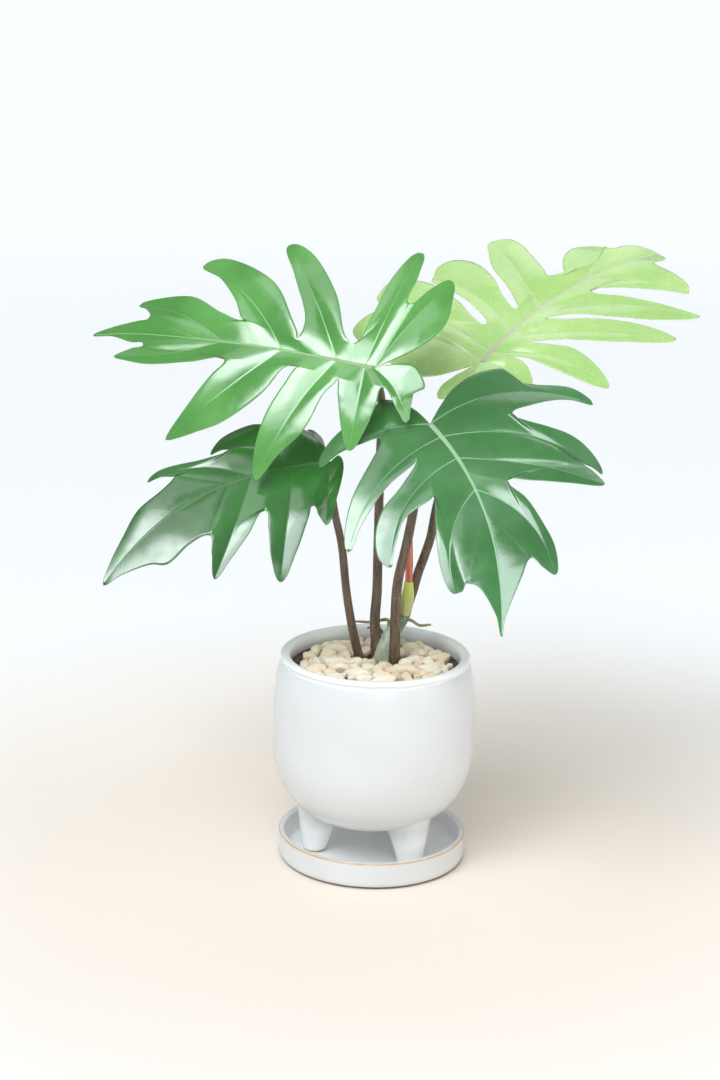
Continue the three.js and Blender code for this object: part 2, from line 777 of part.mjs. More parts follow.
function pebbleSolid([x, y, length, width, height, turn], index) {
  const base = new THREE.IcosahedronGeometry(1, 1);
  base.deleteAttribute("normal");
  base.deleteAttribute("uv");
  const stone = mergeVertices(base, 1e-3);
  const position = stone.attributes.position;
  for (let i = 0; i < position.count; i++) {
    const bump = 0.94 + 0.12 * draw(i + 50 * index, 5);
    position.setXYZ(i, position.getX(i) * bump, position.getY(i) * bump, position.getZ(i) * bump);
  }
  stone.scale(length, width, height);
  stone.rotateZ(degrees(turn));
  stone.translate(x, y, SOIL_LEVEL + TOUCH_GAP + PEBBLE_BED + 0.25 * height);
  return solidFrom(stone);
}

// An upright round block from one level to another about the middle of the pebbles.
function block(radius, bottom, top) {
  const profile = [[0, bottom], [radius, bottom], [radius, top], [0, top]];
  return solidFrom(turned(profile).translate(0, PEBBLE_SHIFT, 0));
}

// Pebbles lie half sunk in a thin bed, so that together they are one body.
function pebblesGeometry(holes) {
  const bottom = SOIL_LEVEL + TOUCH_GAP;
  const bed = block(PEBBLE_RADIUS, bottom, bottom + PEBBLE_BED);
  const room = block(PEBBLE_RADIUS + 0.2, bottom, ABOVE_POT);
  const stones = wasm.Manifold.union([bed, ...pebblePlaces().map(pebbleSolid)]);
  return geometryFrom(largestBody(stones.intersect(room).subtract(holes)));
}

// Soil fills the pot to a little below the neck and arches over the drain hole.
function soilGeometry(holes) {
  const inside = insideProfile(TOUCH_GAP);
  const soil = solidFrom(
    turned([
      [0, innerFloor + 7],
      [DRAIN_RADIUS, innerFloor + 6],
      [DRAIN_RADIUS + 2, innerFloor + TOUCH_GAP],
      ...inside,
      [0, SOIL_LEVEL],
    ]),
  );
  return geometryFrom(soil.subtract(holes));
}

// The plant

const potted_philodendron_mayoi = new THREE.Group();

function addPiece(name, geometry, colour, roughness) {
  const material = new THREE.MeshStandardMaterial({ color: colour, roughness, metalness: 0 });
  const mesh = new THREE.Mesh(geometry, material);
  mesh.name = name;
  potted_philodendron_mayoi.add(mesh);
}

// The stem with its roots in the air, `grow` mm thicker all round.
function stemSolid(grow) {
  const roots = AERIAL_ROOTS.map((root) => solidFrom(stalk(root, grow, ROOT_SIDES)));
  return roots.reduce((body, root) => body.add(root), solidFrom(stalk(STEM, grow)));
}

const holes = Object.values(LEAF_STALKS).reduce(
  (all, shape) => all.add(stalkSolid(shape, HOLE_CLEARANCE)),
  solidFrom(stalk(STEM, HOLE_CLEARANCE)),
);

addPiece("saucer", saucerGeometry(), COLOURS.glaze, 0.3);
addPiece("pot", potGeometry(), COLOURS.glaze, 0.3);
addPiece("soil", soilGeometry(holes), COLOURS.soil, 0.95);
addPiece("pebbles", pebblesGeometry(holes), COLOURS.pebble, 0.85);
addPiece("stem", geometryFrom(stemSolid(0)), COLOURS.stem, 0.7);

let taken = stemSolid(HOLE_CLEARANCE);
for (const [name, shape] of Object.entries(LEAF_STALKS)) {
  const piece = largestBody(stalkSolid(shape, 0).subtract(taken));
  addPiece(name, geometryFrom(piece), COLOURS.stalk, 0.55);
  taken = taken.add(stalkSolid(shape, HOLE_CLEARANCE));
}

const spearBore = solidFrom(stalk(SPEAR, TOUCH_GAP));
const sheath = largestBody(solidFrom(stalk(SHEATH)).subtract(spearBore).subtract(taken));
addPiece("sheath", geometryFrom(sheath), COLOURS.sheath, 0.5);
addPiece("new_leaf", stalk(SPEAR), COLOURS.spear, 0.4);

const bladeColours = {
  blade_upper_left: COLOURS.leafMid,
  blade_front_right: COLOURS.leafBlue,
  blade_lower_left: COLOURS.leafDark,
  blade_back_right: COLOURS.leafYoung,
};
for (const [name, leaf] of Object.entries(LEAVES)) {
  addPiece(name, bladeGeometry(leaf), bladeColours[name], 0.35);
}

export default potted_philodendron_mayoi;
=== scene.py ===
"""A potted philodendron mayoi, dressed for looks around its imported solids: four cut leaves, a stem
with aerial roots and a rolled new leaf, in a glazed pot on three feet, topped with pebbles and set in
its saucer. Lengths of the plant and the pot are millimetres, which `MM` turns into metres."""

import math

import bpy
import numpy as np
from mathutils import Matrix


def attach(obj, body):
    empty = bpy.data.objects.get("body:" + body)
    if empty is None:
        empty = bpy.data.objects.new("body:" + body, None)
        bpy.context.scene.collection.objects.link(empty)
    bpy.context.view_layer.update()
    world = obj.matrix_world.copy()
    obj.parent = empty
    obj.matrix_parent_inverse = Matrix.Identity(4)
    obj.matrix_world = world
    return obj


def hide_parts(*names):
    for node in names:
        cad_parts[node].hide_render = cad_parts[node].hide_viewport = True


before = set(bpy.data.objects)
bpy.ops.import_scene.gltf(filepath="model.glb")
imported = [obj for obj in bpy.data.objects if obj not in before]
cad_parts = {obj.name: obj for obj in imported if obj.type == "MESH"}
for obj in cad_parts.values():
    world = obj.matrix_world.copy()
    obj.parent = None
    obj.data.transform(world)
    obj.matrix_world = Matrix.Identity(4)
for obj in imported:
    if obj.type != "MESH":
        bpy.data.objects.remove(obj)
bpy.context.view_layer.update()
MM = 0.001
SEED = 11
TINY = 1e-9

# View: where the photograph was taken from, worked out from the rims of the pot and the saucer
IMAGE_WIDTH, IMAGE_HEIGHT = 720, 1080
FOCAL_PIXELS, SENSOR_HEIGHT = 2240.0, 36.0
PITCH, ROLL = math.radians(15.5), math.radians(1.2)
ANCHOR, ANCHOR_PIXEL, ANCHOR_DEPTH = np.array([0.0, 0.0, 0.080]), (373.5, 745.6), 1.567

# Floor, in metres
FLOOR_HALF_SIDE, FLOOR_LEVEL, FAR_FLOOR_GLOW = 40.0, -0.0004, 0.22

# Sky: the window's direction in degrees, its half sides at distance 1, and the strengths
WINDOW_HEADING, WINDOW_HEIGHT = -116.0, 50.0
WINDOW_HALF_WIDTH, WINDOW_HALF_HEIGHT, WINDOW_BLUR = 0.36, 0.27, 0.06
SKY_BRIGHT, SKY_DIM, SKY_HAZE = 6.0, 0.45, 1.0

# Lights: place, place aimed at, side of the square and power, in metres and watts, and colour
LIGHTS = {
    "window": ((-1.0, -1.05, 2.0), (0, 0, 0.3), 0.85, 8, (0.97, 0.99, 1.0)),
    "ceiling": ((-0.7, -0.3, 2.15), (0, 0, 0.3), 0.8, 2.5, (0.97, 0.985, 1.0)),
    "skylight": ((0.26, 1.14, 1.75), (0, 0, 0.35), 0.9, 2.2, (1.0, 1.0, 1.0)),
    "room_right": ((1.5, -0.5, 0.55), (0, 0, 0.1), 1.2, 5.5, (1.0, 0.9, 0.85)),
    "room_front": ((0.25, -1.6, 0.85), (0, 0, 0.05), 0.8, 3.8, (1.0, 0.99, 0.97)),
}

# Pot and saucer
SAUCER_RADIUS, SAUCER_HEIGHT, SAUCER_WALL, SAUCER_FLOOR = 65.5, 19.0, 4.0, 5.0
POT_RADIUS, POT_WALL, POT_HEIGHT = 70.3, 5.0, 149.0
POT_BASE_RADIUS, POT_BASE_LEVEL = 30.5, 30.7
POT_BOWL_TOP, POT_STRAIGHT_TOP, POT_FLOOR = 85.5, 106.0, 6.0
INNER_FLOOR = POT_BASE_LEVEL + POT_FLOOR
LIP_RADIUS, LIP_INNER_RADIUS, NECK_RADIUS = 66.0, 58.5, 64.6
DRAIN_RADIUS, TOUCH_GAP, ROUND_STEPS = 7.0, 0.3, 160
BARE_EDGE_FULL, BARE_EDGE_FADE, BARE_SOLE = 1.7, 0.55, 0.6
FOOT_ANGLES = (-169, -49, 71)
FOOT_RING_RADIUS, FOOT_TOP_RING_RADIUS = 41.0, 36.0
FOOT_RADIUS, FOOT_TOP_RADIUS, FOOT_TOP_LEVEL = 8.4, 18.0, 46.0
FOOT_FLARE, FOOT_ROUNDING, FOOT_ROUNDING_HEIGHT, FOOT_SINK = 2.2, 1.3, 1.4, 1.2

# Filling. Large pebbles: x, y, half length, half width, half height, turn in degrees
SOIL_LEVEL, PEBBLE_BED = 139.0, 1.8
PEBBLE_RADIUS, PEBBLE_SHIFT = 54.0, -3.0
LARGE_PEBBLES = [
    (44, 6, 9, 7.5, 5, 20), (20, -22, 14, 8, 5.4, 8), (-30, -2, 12, 8, 5, -12),
    (6, -43, 11, 7.5, 5, 5), (-12, -28, 9.5, 7.5, 4.8, -15), (38, -13, 9, 7, 4.6, 30),
    (30, 16, 7, 5.5, 4.4, -10), (-27, 22, 8, 6, 4.6, 10), (-26, -40, 8.5, 6.5, 4.4, -25),
    (-46, 6, 7, 6, 4.2, 30), (36, -36, 8.5, 6.5, 4.4, 40), (-41, -22, 8, 6.5, 4.4, -40),
]
STALK_FEET = [(5, 5, 8), (0, 8, 4), (13, 0, 4.5), (-12, 8, 4), (18, 9, 4)]
SMALLER_PEBBLES, PEBBLE_TRIES, PEBBLE_COUNT = (6.6, 5.2, 4.0, 3.0), 900, 150
PEBBLE_CUTS, PEBBLE_CUT_DEPTH, PEBBLE_TILT = 9, 0.92, 14
GOLDEN_ANGLE = 2.39996

# Stem, sheath, new leaf and stalks: centre lines, and radii evenly along them
STEM = dict(
    route=[(4, 6, 118), (4, 6, 134), (5, 5, 144), (7, 6, 152), (11, 8, 161), (15.5, 9, 167), (19, 10, 172.5)],
    radii=[7.2, 7.4, 7, 6, 5, 4.7, 4.6],
)
LEAF_SCARS, SCAR_WIDTH, SCAR_HEIGHT = (0.42, 0.56, 0.7, 0.84), 0.02, 0.45
AERIAL_ROOTS = [
    dict(route=[(19, 9, 170), (24, 9, 169.5), (30, 8, 166.5), (38, 6, 167.5)], radii=[1.3, 1.1, 1, 0.7]),
    dict(
        route=[(9, 8, 160), (8, 10, 169), (3, 12, 168), (-4, 14, 166), (-14, 15, 166)],
        radii=[1.6, 1.3, 1.1, 1, 0.7],
    ),
    dict(route=[(7, 7, 155), (4, 12, 160), (0, 15, 162), (-6, 17, 161)], radii=[1.4, 1.1, 0.9, 0.7]),
]
SHEATH = dict(
    route=[(19.3, 10, 173.2), (20.3, 10, 178), (21.2, 10, 187), (21.6, 10, 197)],
    radii=[3.6, 4.4, 4.2, 3.1],
)
SPEAR = dict(
    route=[(20.5, 10, 179), (21.6, 10, 195), (22, 10, 213), (21, 10, 245), (19.4, 10, 268)],
    radii=[2.1, 2.5, 2.4, 1.8, 0.5],
)
LEAF_STALKS = {
    "upper_left": dict(
        route=[
            (1, 9, 130), (0, 8, 154), (-1, 8, 170), (0, 8, 190), (0, 6, 217), (0, 2, 257),
            (0, -3, 293), (0, -9, 328), (-4, -15, 346.5),
        ],
        radii=[3.9, 3.4, 3.1, 2.9, 2.7],
    ),
    "front_right": dict(
        route=[
            (11, 2, 126), (13, 0, 144), (13, -2, 180), (14, -4, 201), (19, -9, 228), (23, -14, 254),
            (27, -21, 288), (31.5, -31.5, 313.5),
        ],
        radii=[3.9, 3.5, 3.3, 3, 2.7],
    ),
    "lower_left": dict(
        route=[
            (-7, 8, 124), (-12, 8, 144), (-17, 8, 166), (-21, 6, 190), (-25, 2, 225), (-30, -3, 249),
            (-33, -8, 272), (-33.5, -12.5, 282.5),
        ],
        radii=[3.4, 3, 2.8, 2.6, 2.5],
    ),
    "back_right": dict(
        route=[
            (20, 13.5, 171), (22.5, 17.5, 180), (25, 18.5, 188), (28, 18.5, 200), (36, 18.5, 226),
            (39.5, 19, 247), (49, 22, 288), (60, 26, 326), (67, 29.5, 342.5),
        ],
        radii=[3.4, 3.2, 3.1, 2.9, 2.6],
    ),
}

# Leaves: steps of half a lobe's grid up to the cut beside it, on to the tip, and out to the margin.
# Drooping and easing start at a share of the length, and ribs stop short of the tip.
VALLEY_ROWS, MARGIN_ROWS, ACROSS_ROWS = 12, 30, 14
NEAREST_CUT, FARTHEST_CUT = 0.12, 0.6
BLADE_THICKNESS, ARCH = 0.55, 2.0
DROOP_START, EASE_START, EASE = 0.35, 0.45, 0.6
RIPPLE, RIPPLE_LENGTH = 0.3, 11.0
RIB_END, VEIN_END, RIB_ABOVE, RIB_BELOW = 0.985, 0.94, 0.22, 1.15


def lobe(station, tip, bow, near, far, sinus):
    """A lobe's vein leaves the midrib at `station` and ends at `tip`, bowed towards the base. Its
    margins are `near`, on the side of the leaf's base, and `far`, which ends at the cut `sinus`."""
    return dict(station=station, tip=tip, bow=bow, near=near, far=far, sinus=sinus)


LEAVES = {
    "upper_left": dict(
        junction=[-5.6, -20, 352.3], faces=(-104, 36), tip_direction=[-0.96, 0.27, 0.04],
        fall=(0.0005, 0.001, 0.0004), tip=[211, -12], bow=-3, last_fork=128,
        left=[
            lobe(0, [-28, 33], 4, [[-15, -4.5], [-25, -5], [-31, -1], [-36.5, 9], [-30, 12], [-29, 21]],
                [[-21, 27]], [-9, 14]),
            lobe(6, [6, 57], 0, [[-7, 26], [-2, 44]], [[13, 46], [20, 22]], [23, 11]),
            lobe(26, [66, 84], -4, [[30, 24], [38, 48], [53, 66]], [[70, 66], [67, 42], [58, 19]],
                [50, 6]),
            lobe(66, [136, 62], 0, [[61, 8], [72, 27], [94, 47], [115, 56]], [[122, 35], [111, 17]],
                [104, 5]),
            lobe(110, [190, 4], 5, [[129, 8], [160, 10], [180, 7]], [[176, 0]], [167, -3]),
        ],
        left_end=[[178, -5], [194, -10]],
        right=[
            lobe(0, [-37, -73], -1, [[-25, -16], [-40, -36], [-41, -56]], [[-25, -63]], [-14, -49]),
            lobe(6, [-12, -92], -1, [[-15, -72]], [[2, -71], [9, -38]], [16, -15]),
            lobe(26, [82, -89], 2, [[25, -22], [38, -52], [62, -82]], [[71, -64], [55, -32]], [57, -14]),
            lobe(66, [141, -69], 7, [[64, -30], [84, -57], [121, -74]], [[124, -58], [108, -41]],
                [96, -25]),
            lobe(110, [181, -36], 5, [[115, -30], [140, -42], [167, -41]], [[173, -31]], [168, -24]),
        ],
        right_end=[[178, -21], [196, -17]],
    ),
    "front_right": dict(
        junction=[31.9, -35, 318.7], faces=(-100, 54), tip_direction=[0.24, -0.8, -0.55],
        fall=(0.001, 0.0008, 0.001), tip=[159, 4], bow=14, last_fork=74,
        left=[
            lobe(0, [3, 110], 16, [[-14, 11], [-27, 24], [-36.5, 42], [-37, 60], [-30, 60], [-24, 63],
                [-19, 78], [-13, 100]], [[-1, 97], [-2, 85], [1, 69]], [7, 54]),
            lobe(13, [61, 99], 13, [[14, 60], [30, 86], [46, 97]], [[59, 94]], [55, 87]),
            lobe(33, [69, 98], 2, [[62, 93]], [[67, 76], [63, 52]], [60, 36]),
            lobe(60, [127, 48], 10, [[75, 44], [90, 49], [110, 53]], [[123, 41]], [117, 35]),
        ],
        left_end=[[128, 26], [148, 10]],
        right=[
            lobe(0, [5, -77], 7, [[-17, -8], [-31, -25], [-21, -37], [-17, -57], [-6, -72]], [[1, -61],
                [1, -46]], [4, -34]),
            lobe(13, [76, -74], 11, [[16, -42], [40, -62], [62, -73]], [[61, -61], [41, -39]], [27, -16]),
            lobe(33, [96, -51], 12, [[44, -30], [57, -46], [72, -55], [88, -57]], [[86.5, -46],
                [68, -34]], [58, -13]),
            lobe(60, [125, -16], 9, [[76, -16], [96, -20], [115, -21]], [[127, -12]], [124, -8]),
        ],
        right_end=[[129, -1], [146, 4]],
    ),
    "lower_left": dict(
        junction=[-33.6, -15, 286.8], faces=(-86, 49), tip_direction=[-0.82, -0.46, -0.35],
        fall=(0.0006, 0.0016, 0.0014), tip=[170, -10], bow=-20, last_fork=66,
        left=[
            lobe(0, [26, 35], 0, [[-8, -1], [-5, 9], [10, 24]], [[28.5, 30]], [29, 24]),
            lobe(22, [74, 54], 0, [[36, 29], [55, 44]], [[72, 40], [63, 22]], [58, 10]),
            lobe(50, [109, 29], 2, [[76, 18], [94, 25]], [[103, 16]], [98, 5]),
        ],
        left_end=[[112, 3], [130, 6], [140, -2], [157, -8]],
        right=[
            lobe(0, [-6, -36], 0, [[-3, -9], [-8, -23]], [[6, -45]], [14, -48]),
            lobe(22, [59, -56], 9, [[26, -56], [38, -60], [49, -61]], [[54, -51]], [49, -46]),
            lobe(50, [105, -62], 6, [[54, -45], [70, -51], [84, -59], [96, -64]], [[98, -56]], [91, -49]),
        ],
        right_end=[[105, -44], [125, -41], [144, -30], [158, -21]],
    ),
    "back_right": dict(
        junction=[68, 30, 348.2], faces=(-92, 58), tip_direction=[0.75, 0.55, 0.36],
        fall=(0.0004, 0.0006, 0.0006), tip=[188, 14], bow=11, last_fork=134,
        left=[
            lobe(0, [-40, 89], -10, [[-13, 2.5], [-25, 6], [-35, 10], [-42, 17], [-46, 34], [-47, 64]],
                [[-19, 90]], [-11, 67]),
            lobe(10, [-3, 106], -5, [[-13, 84]], [[13, 110], [29, 92], [30, 60], [25, 38]], [26, 25]),
            lobe(35, [38, 94], -8, [[33, 38], [37, 58], [36.5, 78]], [[50, 101.5], [64, 98.5], [71, 84],
                [67, 62], [56, 38]], [54, 23]),
            lobe(70, [103, 100.5], 0, [[59, 30], [67, 47], [75, 69], [87, 87]], [[112.5, 93], [112, 79],
                [106.5, 62], [101, 46]], [98.5, 36]),
            lobe(116, [160.5, 45], -2, [[107, 31], [113, 38], [122, 47], [136, 53.7], [150, 51.3]],
                [[160, 41]], [158, 38]),
        ],
        left_end=[[163, 34.5], [171, 33.5], [182, 27]],
        right=[
            lobe(0, [-43, -4], 0, [[-11, 1], [-23, 2.4], [-36, 2]], [[-36, -10], [-24, -13]], [-13, -10]),
            lobe(0, [12, -36], -3, [[-10, -21], [0, -34]], [[19, -28], [21, -18]], [17.5, -8]),
            lobe(10, [54, -69], -11, [[27, -20], [35, -40], [45, -60]], [[60, -52], [57, -28]], [36, -3]),
            lobe(35, [128, -61], 0, [[60, -20], [86, -40], [113, -58]], [[118, -42], [98, -22], [76, -7]],
                [60, 2]),
            lobe(70, [160, -53.5], -5, [[80, -4], [101, -21], [122, -37], [143, -48]], [[146, -33],
                [128, -13]], [109, 6]),
            lobe(116, [172, -31], -6, [[127, 0], [148, -13], [163, -24]], [[177.5, -24], [176, -12]],
                [172, 4]),
        ],
        right_end=[[179, 3.5], [186, 6]],
    ),
}

# Curves and meshes


def unit(vectors):
    """Vectors brought to length 1."""
    return vectors / np.linalg.norm(vectors, axis=-1, keepdims=True)


def turns(count):
    """`count` even angles round a circle."""
    return np.linspace(0, 2 * math.pi, count, endpoint=False)


def run_along(path):
    """The distance run along a path up to each of its points."""
    return np.concatenate([[0], np.cumsum(np.linalg.norm(np.diff(path, axis=0), axis=1))])


def smooth_curve(points, count, knot_power=0.5, start_slope=None, end_slope=None, steps=32):
    """`count` points at equal distances along a Catmull-Rom curve: each stretch is a cubic whose end
    slopes come from the neighbours, weighted by distance ** knot_power, or are given."""
    points = np.asarray(points, float)
    first, last = points[0], points[-1]
    if knot_power:
        first, last = 2 * first - points[1], 2 * last - points[-2]
    knots = np.vstack([first, points, last])
    gaps = np.maximum(np.linalg.norm(np.diff(knots, axis=0), axis=1), TINY) ** knot_power
    t = np.linspace(0, 1, steps + 1)[:-1, None]
    stretches = []
    for i in range(len(points) - 1):
        p0, p1, p2, p3 = knots[i : i + 4]
        g0, g1, g2 = gaps[i : i + 3]
        start = ((p1 - p0) / g0 - (p2 - p0) / (g0 + g1) + (p2 - p1) / g1) * g1
        end = ((p2 - p1) / g1 - (p3 - p1) / (g1 + g2) + (p3 - p2) / g2) * g1
        if i == 0 and start_slope is not None:
            start = start_slope
        if i == len(points) - 2 and end_slope is not None:
            end = end_slope
        cubic = 2 * p1 - 2 * p2 + start + end
        square = -3 * p1 + 3 * p2 - 2 * start - end
        stretches.append(cubic * t**3 + square * t**2 + start * t + p1)
    dense = np.vstack(stretches + [points[-1:]])
    along = run_along(dense)
    wanted = np.linspace(0, along[-1], count)
    return np.stack([np.interp(wanted, along, column) for column in dense.T], axis=1)


def spread(values, count):
    """`values`, evenly spaced, read smoothly at `count` places."""
    return smooth_curve(np.stack([np.arange(len(values)), values], 1), count, 0)[:, 1]


def rounded(profile, steps=4, share=0.35):
    """A profile with each inner corner replaced by a quadratic curve, which starts and ends at a
    share of the shorter side from the corner."""
    profile = np.asarray(profile, float)
    out = [profile[0]]
    t = np.linspace(0, 1, steps)[:, None]
    for a, b, c in zip(profile, profile[1:], profile[2:]):
        back, on = np.linalg.norm(b - a), np.linalg.norm(c - b)
        reach = share * min(back, on)
        start, end = b + (a - b) / back * reach, b + (c - b) / on * reach
        out.extend((1 - t) ** 2 * start + 2 * t * (1 - t) * b + t**2 * end)
    return np.vstack(out + [profile[-1]])


def waves(x, y, z, scale, seed, count=6):
    """Smooth noise between about -1 and 1: the mean of sines along seeded random directions."""
    draw = np.random.default_rng(seed)
    total = 0.0
    for _ in range(count):
        direction = draw.normal(size=3)
        direction *= draw.uniform(0.6, 1.5) / np.linalg.norm(direction) / scale
        phase = draw.uniform(0, 2 * math.pi)
        total = total + np.sin(x * direction[0] + y * direction[1] + z * direction[2] + phase)
    return total / math.sqrt(count)


def ring_frames(path):
    """Two unit vectors across a path at each of its points, carried along it without twist."""
    tangents = unit(np.gradient(path, axis=0))
    helper = np.array([0.0, 1.0, 0.0]) if abs(tangents[0, 1]) < 0.9 else np.array([1.0, 0.0, 0.0])
    side = np.cross(helper, tangents[0])
    sides = []
    for tangent in tangents:
        side = unit(side - tangent * np.dot(side, tangent))
        sides.append(side)
    return np.array(sides), np.cross(tangents, sides)


def grid_faces(rows, columns, closed=False):
    """Quads of a grid of points, which face outwards where columns x rows does. A closed grid joins
    its last column to its first."""
    r = np.arange(rows - 1)[:, None]
    c = np.arange(columns if closed else columns - 1)[None, :]
    after = (c + 1) % columns
    corners = [r * columns + c, r * columns + after, (r + 1) * columns + after, (r + 1) * columns + c]
    return np.stack([np.broadcast_to(k, (rows - 1, c.shape[1])) for k in corners], -1).reshape(-1, 4)


def capped_faces(rows, sides):
    """Faces of a closed grid, and a fan at each end to one of the two points that follow it."""
    last = rows * sides
    k = np.arange(sides)
    pairs = list(zip(k, (k + 1) % sides))
    low = [(last, b, a) for a, b in pairs]
    high = [(last + 1, last - sides + a, last - sides + b) for a, b in pairs]
    return list(map(tuple, grid_faces(rows, sides, closed=True))) + low + high


class Sheet:
    """Points, faces, their material numbers and point attributes, gathered before a mesh is made."""

    def __init__(self):
        self.points, self.faces, self.looks, self.values = [], [], [], {}
        self.count = 0

    def add(self, points, faces, look=0, **values):
        """Adds points and faces, which count from this call's first point."""
        points = np.asarray(points, float).reshape(-1, 3)
        self.points.append(points)
        self.faces.extend(tuple(np.asarray(face) + self.count) for face in faces)
        self.looks.extend([look] * len(faces))
        for name in {**self.values, **values}:
            row = np.broadcast_to(np.asarray(values.get(name, 0.0), float), (len(points),))
            self.values.setdefault(name, [np.zeros(self.count)] if self.count else []).append(row)
        self.count += len(points)
        return self

    def add_rings(self, path, rings, ends, look=0):
        """Adds rings of points along a path, closed by a fan to an end point at either end."""
        rows, sides = rings.shape[:2]
        length = run_along(path)
        along = np.concatenate([np.repeat(length, sides), [0, length[-1]]])
        points = np.vstack([rings.reshape(-1, 3), *ends])
        return self.add(points, capped_faces(rows, sides), look, along=along)

    def tube(self, path, radii, sides, look=0, dome=0.35):
        """Adds a tube: a circle of the given radius about each point of the path, with domed ends.
        `radii` is a list by row, or an array of rows by sides."""
        across, over = ring_frames(path)
        radii = np.broadcast_to(np.asarray(radii, float).reshape(len(path), -1), (len(path), sides))
        angles = turns(sides)[:, None]
        ring = across[:, None] * np.cos(angles) + over[:, None] * np.sin(angles)
        start, end = np.cross(across, over)[[0, -1]] * radii[[0, -1]].mean(1)[:, None] * dome
        rings = path[:, None] + ring * radii[..., None]
        return self.add_rings(path, rings, [path[0] - start, path[-1] + end], look)

    def lathe(self, profile, steps=ROUND_STEPS, ring=False, lift=None, **values):
        """Adds a surface of revolution: each [radius, height] of the profile turned about Z. A ring's
        last row joins its first, and any other profile starts and ends on the axis. `lift(x, y, z)`
        adds to the height, and values go by row."""
        profile = np.asarray(profile, float)
        row = np.repeat(np.arange(len(profile))[slice(None) if ring else slice(1, -1)], steps)
        if ring:
            faces = grid_faces(len(profile) + 1, steps, closed=True) % len(row)
        else:
            faces = capped_faces(len(profile) - 2, steps)
            row = np.append(row, [0, -1])
        radius, height = profile[row].T
        angle = np.resize(turns(steps), len(row))
        points = np.stack([radius * np.cos(angle), radius * np.sin(angle), height], 1)
        if lift:
            points[:, 2] += lift(*points.T)
        return self.add(points, faces, **{key: value[row] for key, value in values.items()})

    def mesh(self, name):
        """The mesh in metres, from millimetres."""
        mesh = bpy.data.meshes.new(name)
        mesh.from_pydata((np.vstack(self.points) * MM).tolist(), [], self.faces)
        mesh.polygons.foreach_set("material_index", self.looks)
        mesh.polygons.foreach_set("use_smooth", [True] * len(mesh.polygons))
        for attribute, rows in self.values.items():
            layer = mesh.attributes.new(attribute, "FLOAT", "POINT")
            layer.data.foreach_set("value", np.concatenate(rows).astype(np.float32))
        mesh.validate()
        mesh.update()
        return mesh


def piece(name, sheet, materials, node):
    """Makes an object at the origin, puts it on the body and lets it stand for a CAD node."""
    thing = bpy.data.objects.new(name, sheet.mesh(name))
    for material in materials:
        thing.data.materials.append(material)
    bpy.context.scene.collection.objects.link(thing)
    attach(thing, "root")
    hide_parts(node)


# Materials


class Nodes:
    """The shader nodes of a material or of the sky. An input is a number, a vector, a colour or
    another node's output."""

    def __init__(self, owner):
        owner.use_nodes = True
        self.owner, self.tree = owner, owner.node_tree

    def feed(self, socket, value):
        """Links a node's output to a socket, or sets the socket's own value."""
        if isinstance(value, bpy.types.NodeSocket):
            self.tree.links.new(value, socket)
        else:
            socket.default_value = (*value, 1) if socket.type == "RGBA" else value

    def make(self, kind, output, inputs, **settings):
        """A new node's output, with its inputs given by name or number."""
        made = self.tree.nodes.new("ShaderNode" + kind)
        for key, value in settings.items():
            setattr(made, key, value)
        for key, value in inputs.items():
            self.feed(made.inputs[key], value)
        return made.outputs[output]

    def maths(self, operation, a, b=0.0):
        return self.make("Math", 0, {0: a, 1: b}, operation=operation)

    def ramp(self, value, low, high, out_low=0.0, out_high=1.0, kind="SMOOTHSTEP"):
        """`value` from low..high to out_low..out_high, held at both ends."""
        ends = {"From Min": low, "From Max": high, "To Min": out_low, "To Max": out_high}
        return self.make("MapRange", "Result", {"Value": value, **ends}, interpolation_type=kind, clamp=True)


class Finish(Nodes):
    """A material under way: its surface, and patterns on the piece's own coordinates in metres."""

    def __init__(self, name, colour, roughness, **sockets):
        super().__init__(bpy.data.materials.new(name))
        self.surface = self.tree.nodes["Principled BSDF"]
        self.place = self.make("TexCoord", "Object", {})
        self.set(Base_Color=colour, Roughness=roughness, **sockets)

    def set(self, **sockets):
        """Sets or links sockets of the surface, with _ for a space in their names."""
        for name, value in sockets.items():
            self.feed(self.surface.inputs[name.replace("_", " ")], value)

    def attribute(self, name):
        return self.make("Attribute", "Fac", {}, attribute_name=name)

    def noise(self, scale, detail=3.0, roughness=0.5, where=None):
        """Noise between 0 and 1 at `scale` features a metre."""
        inputs = {"Vector": where or self.place, "Scale": scale, "Detail": detail, "Roughness": roughness}
        return self.make("TexNoise", "Fac", inputs)

    def dots(self, scale, low, high):
        """Round dots about the points of a Voronoi pattern, from 1 within `low` to 0 past `high`."""
        cells = self.make("TexVoronoi", "Distance", {"Vector": self.place, "Scale": scale})
        return self.ramp(cells, low, high, 1.0, 0.0)

    def blend(self, factor, a, b):
        """Colour a where factor is 0 and b where it is 1."""
        return self.make("Mix", 2, {0: factor, 6: a, 7: b}, data_type="RGBA")

    def cover(self, under, over, scale, detail, low, high, most=1.0, where=None):
        """Colour `over` in clouds on `under`, where noise passes from low to high, up to `most`."""
        clouds = self.ramp(self.noise(scale, detail, where=where), low, high, 0.0, most)
        return self.blend(clouds, under, over)

    def done(self, colour, height, distance, strength=1.0):
        """The material, once it has its colour and is raised by height x distance metres."""
        raised = self.make("Bump", "Normal", {"Height": height, "Distance": distance, "Strength": strength})
        self.set(Base_Color=colour, Normal=raised)
        return self.owner


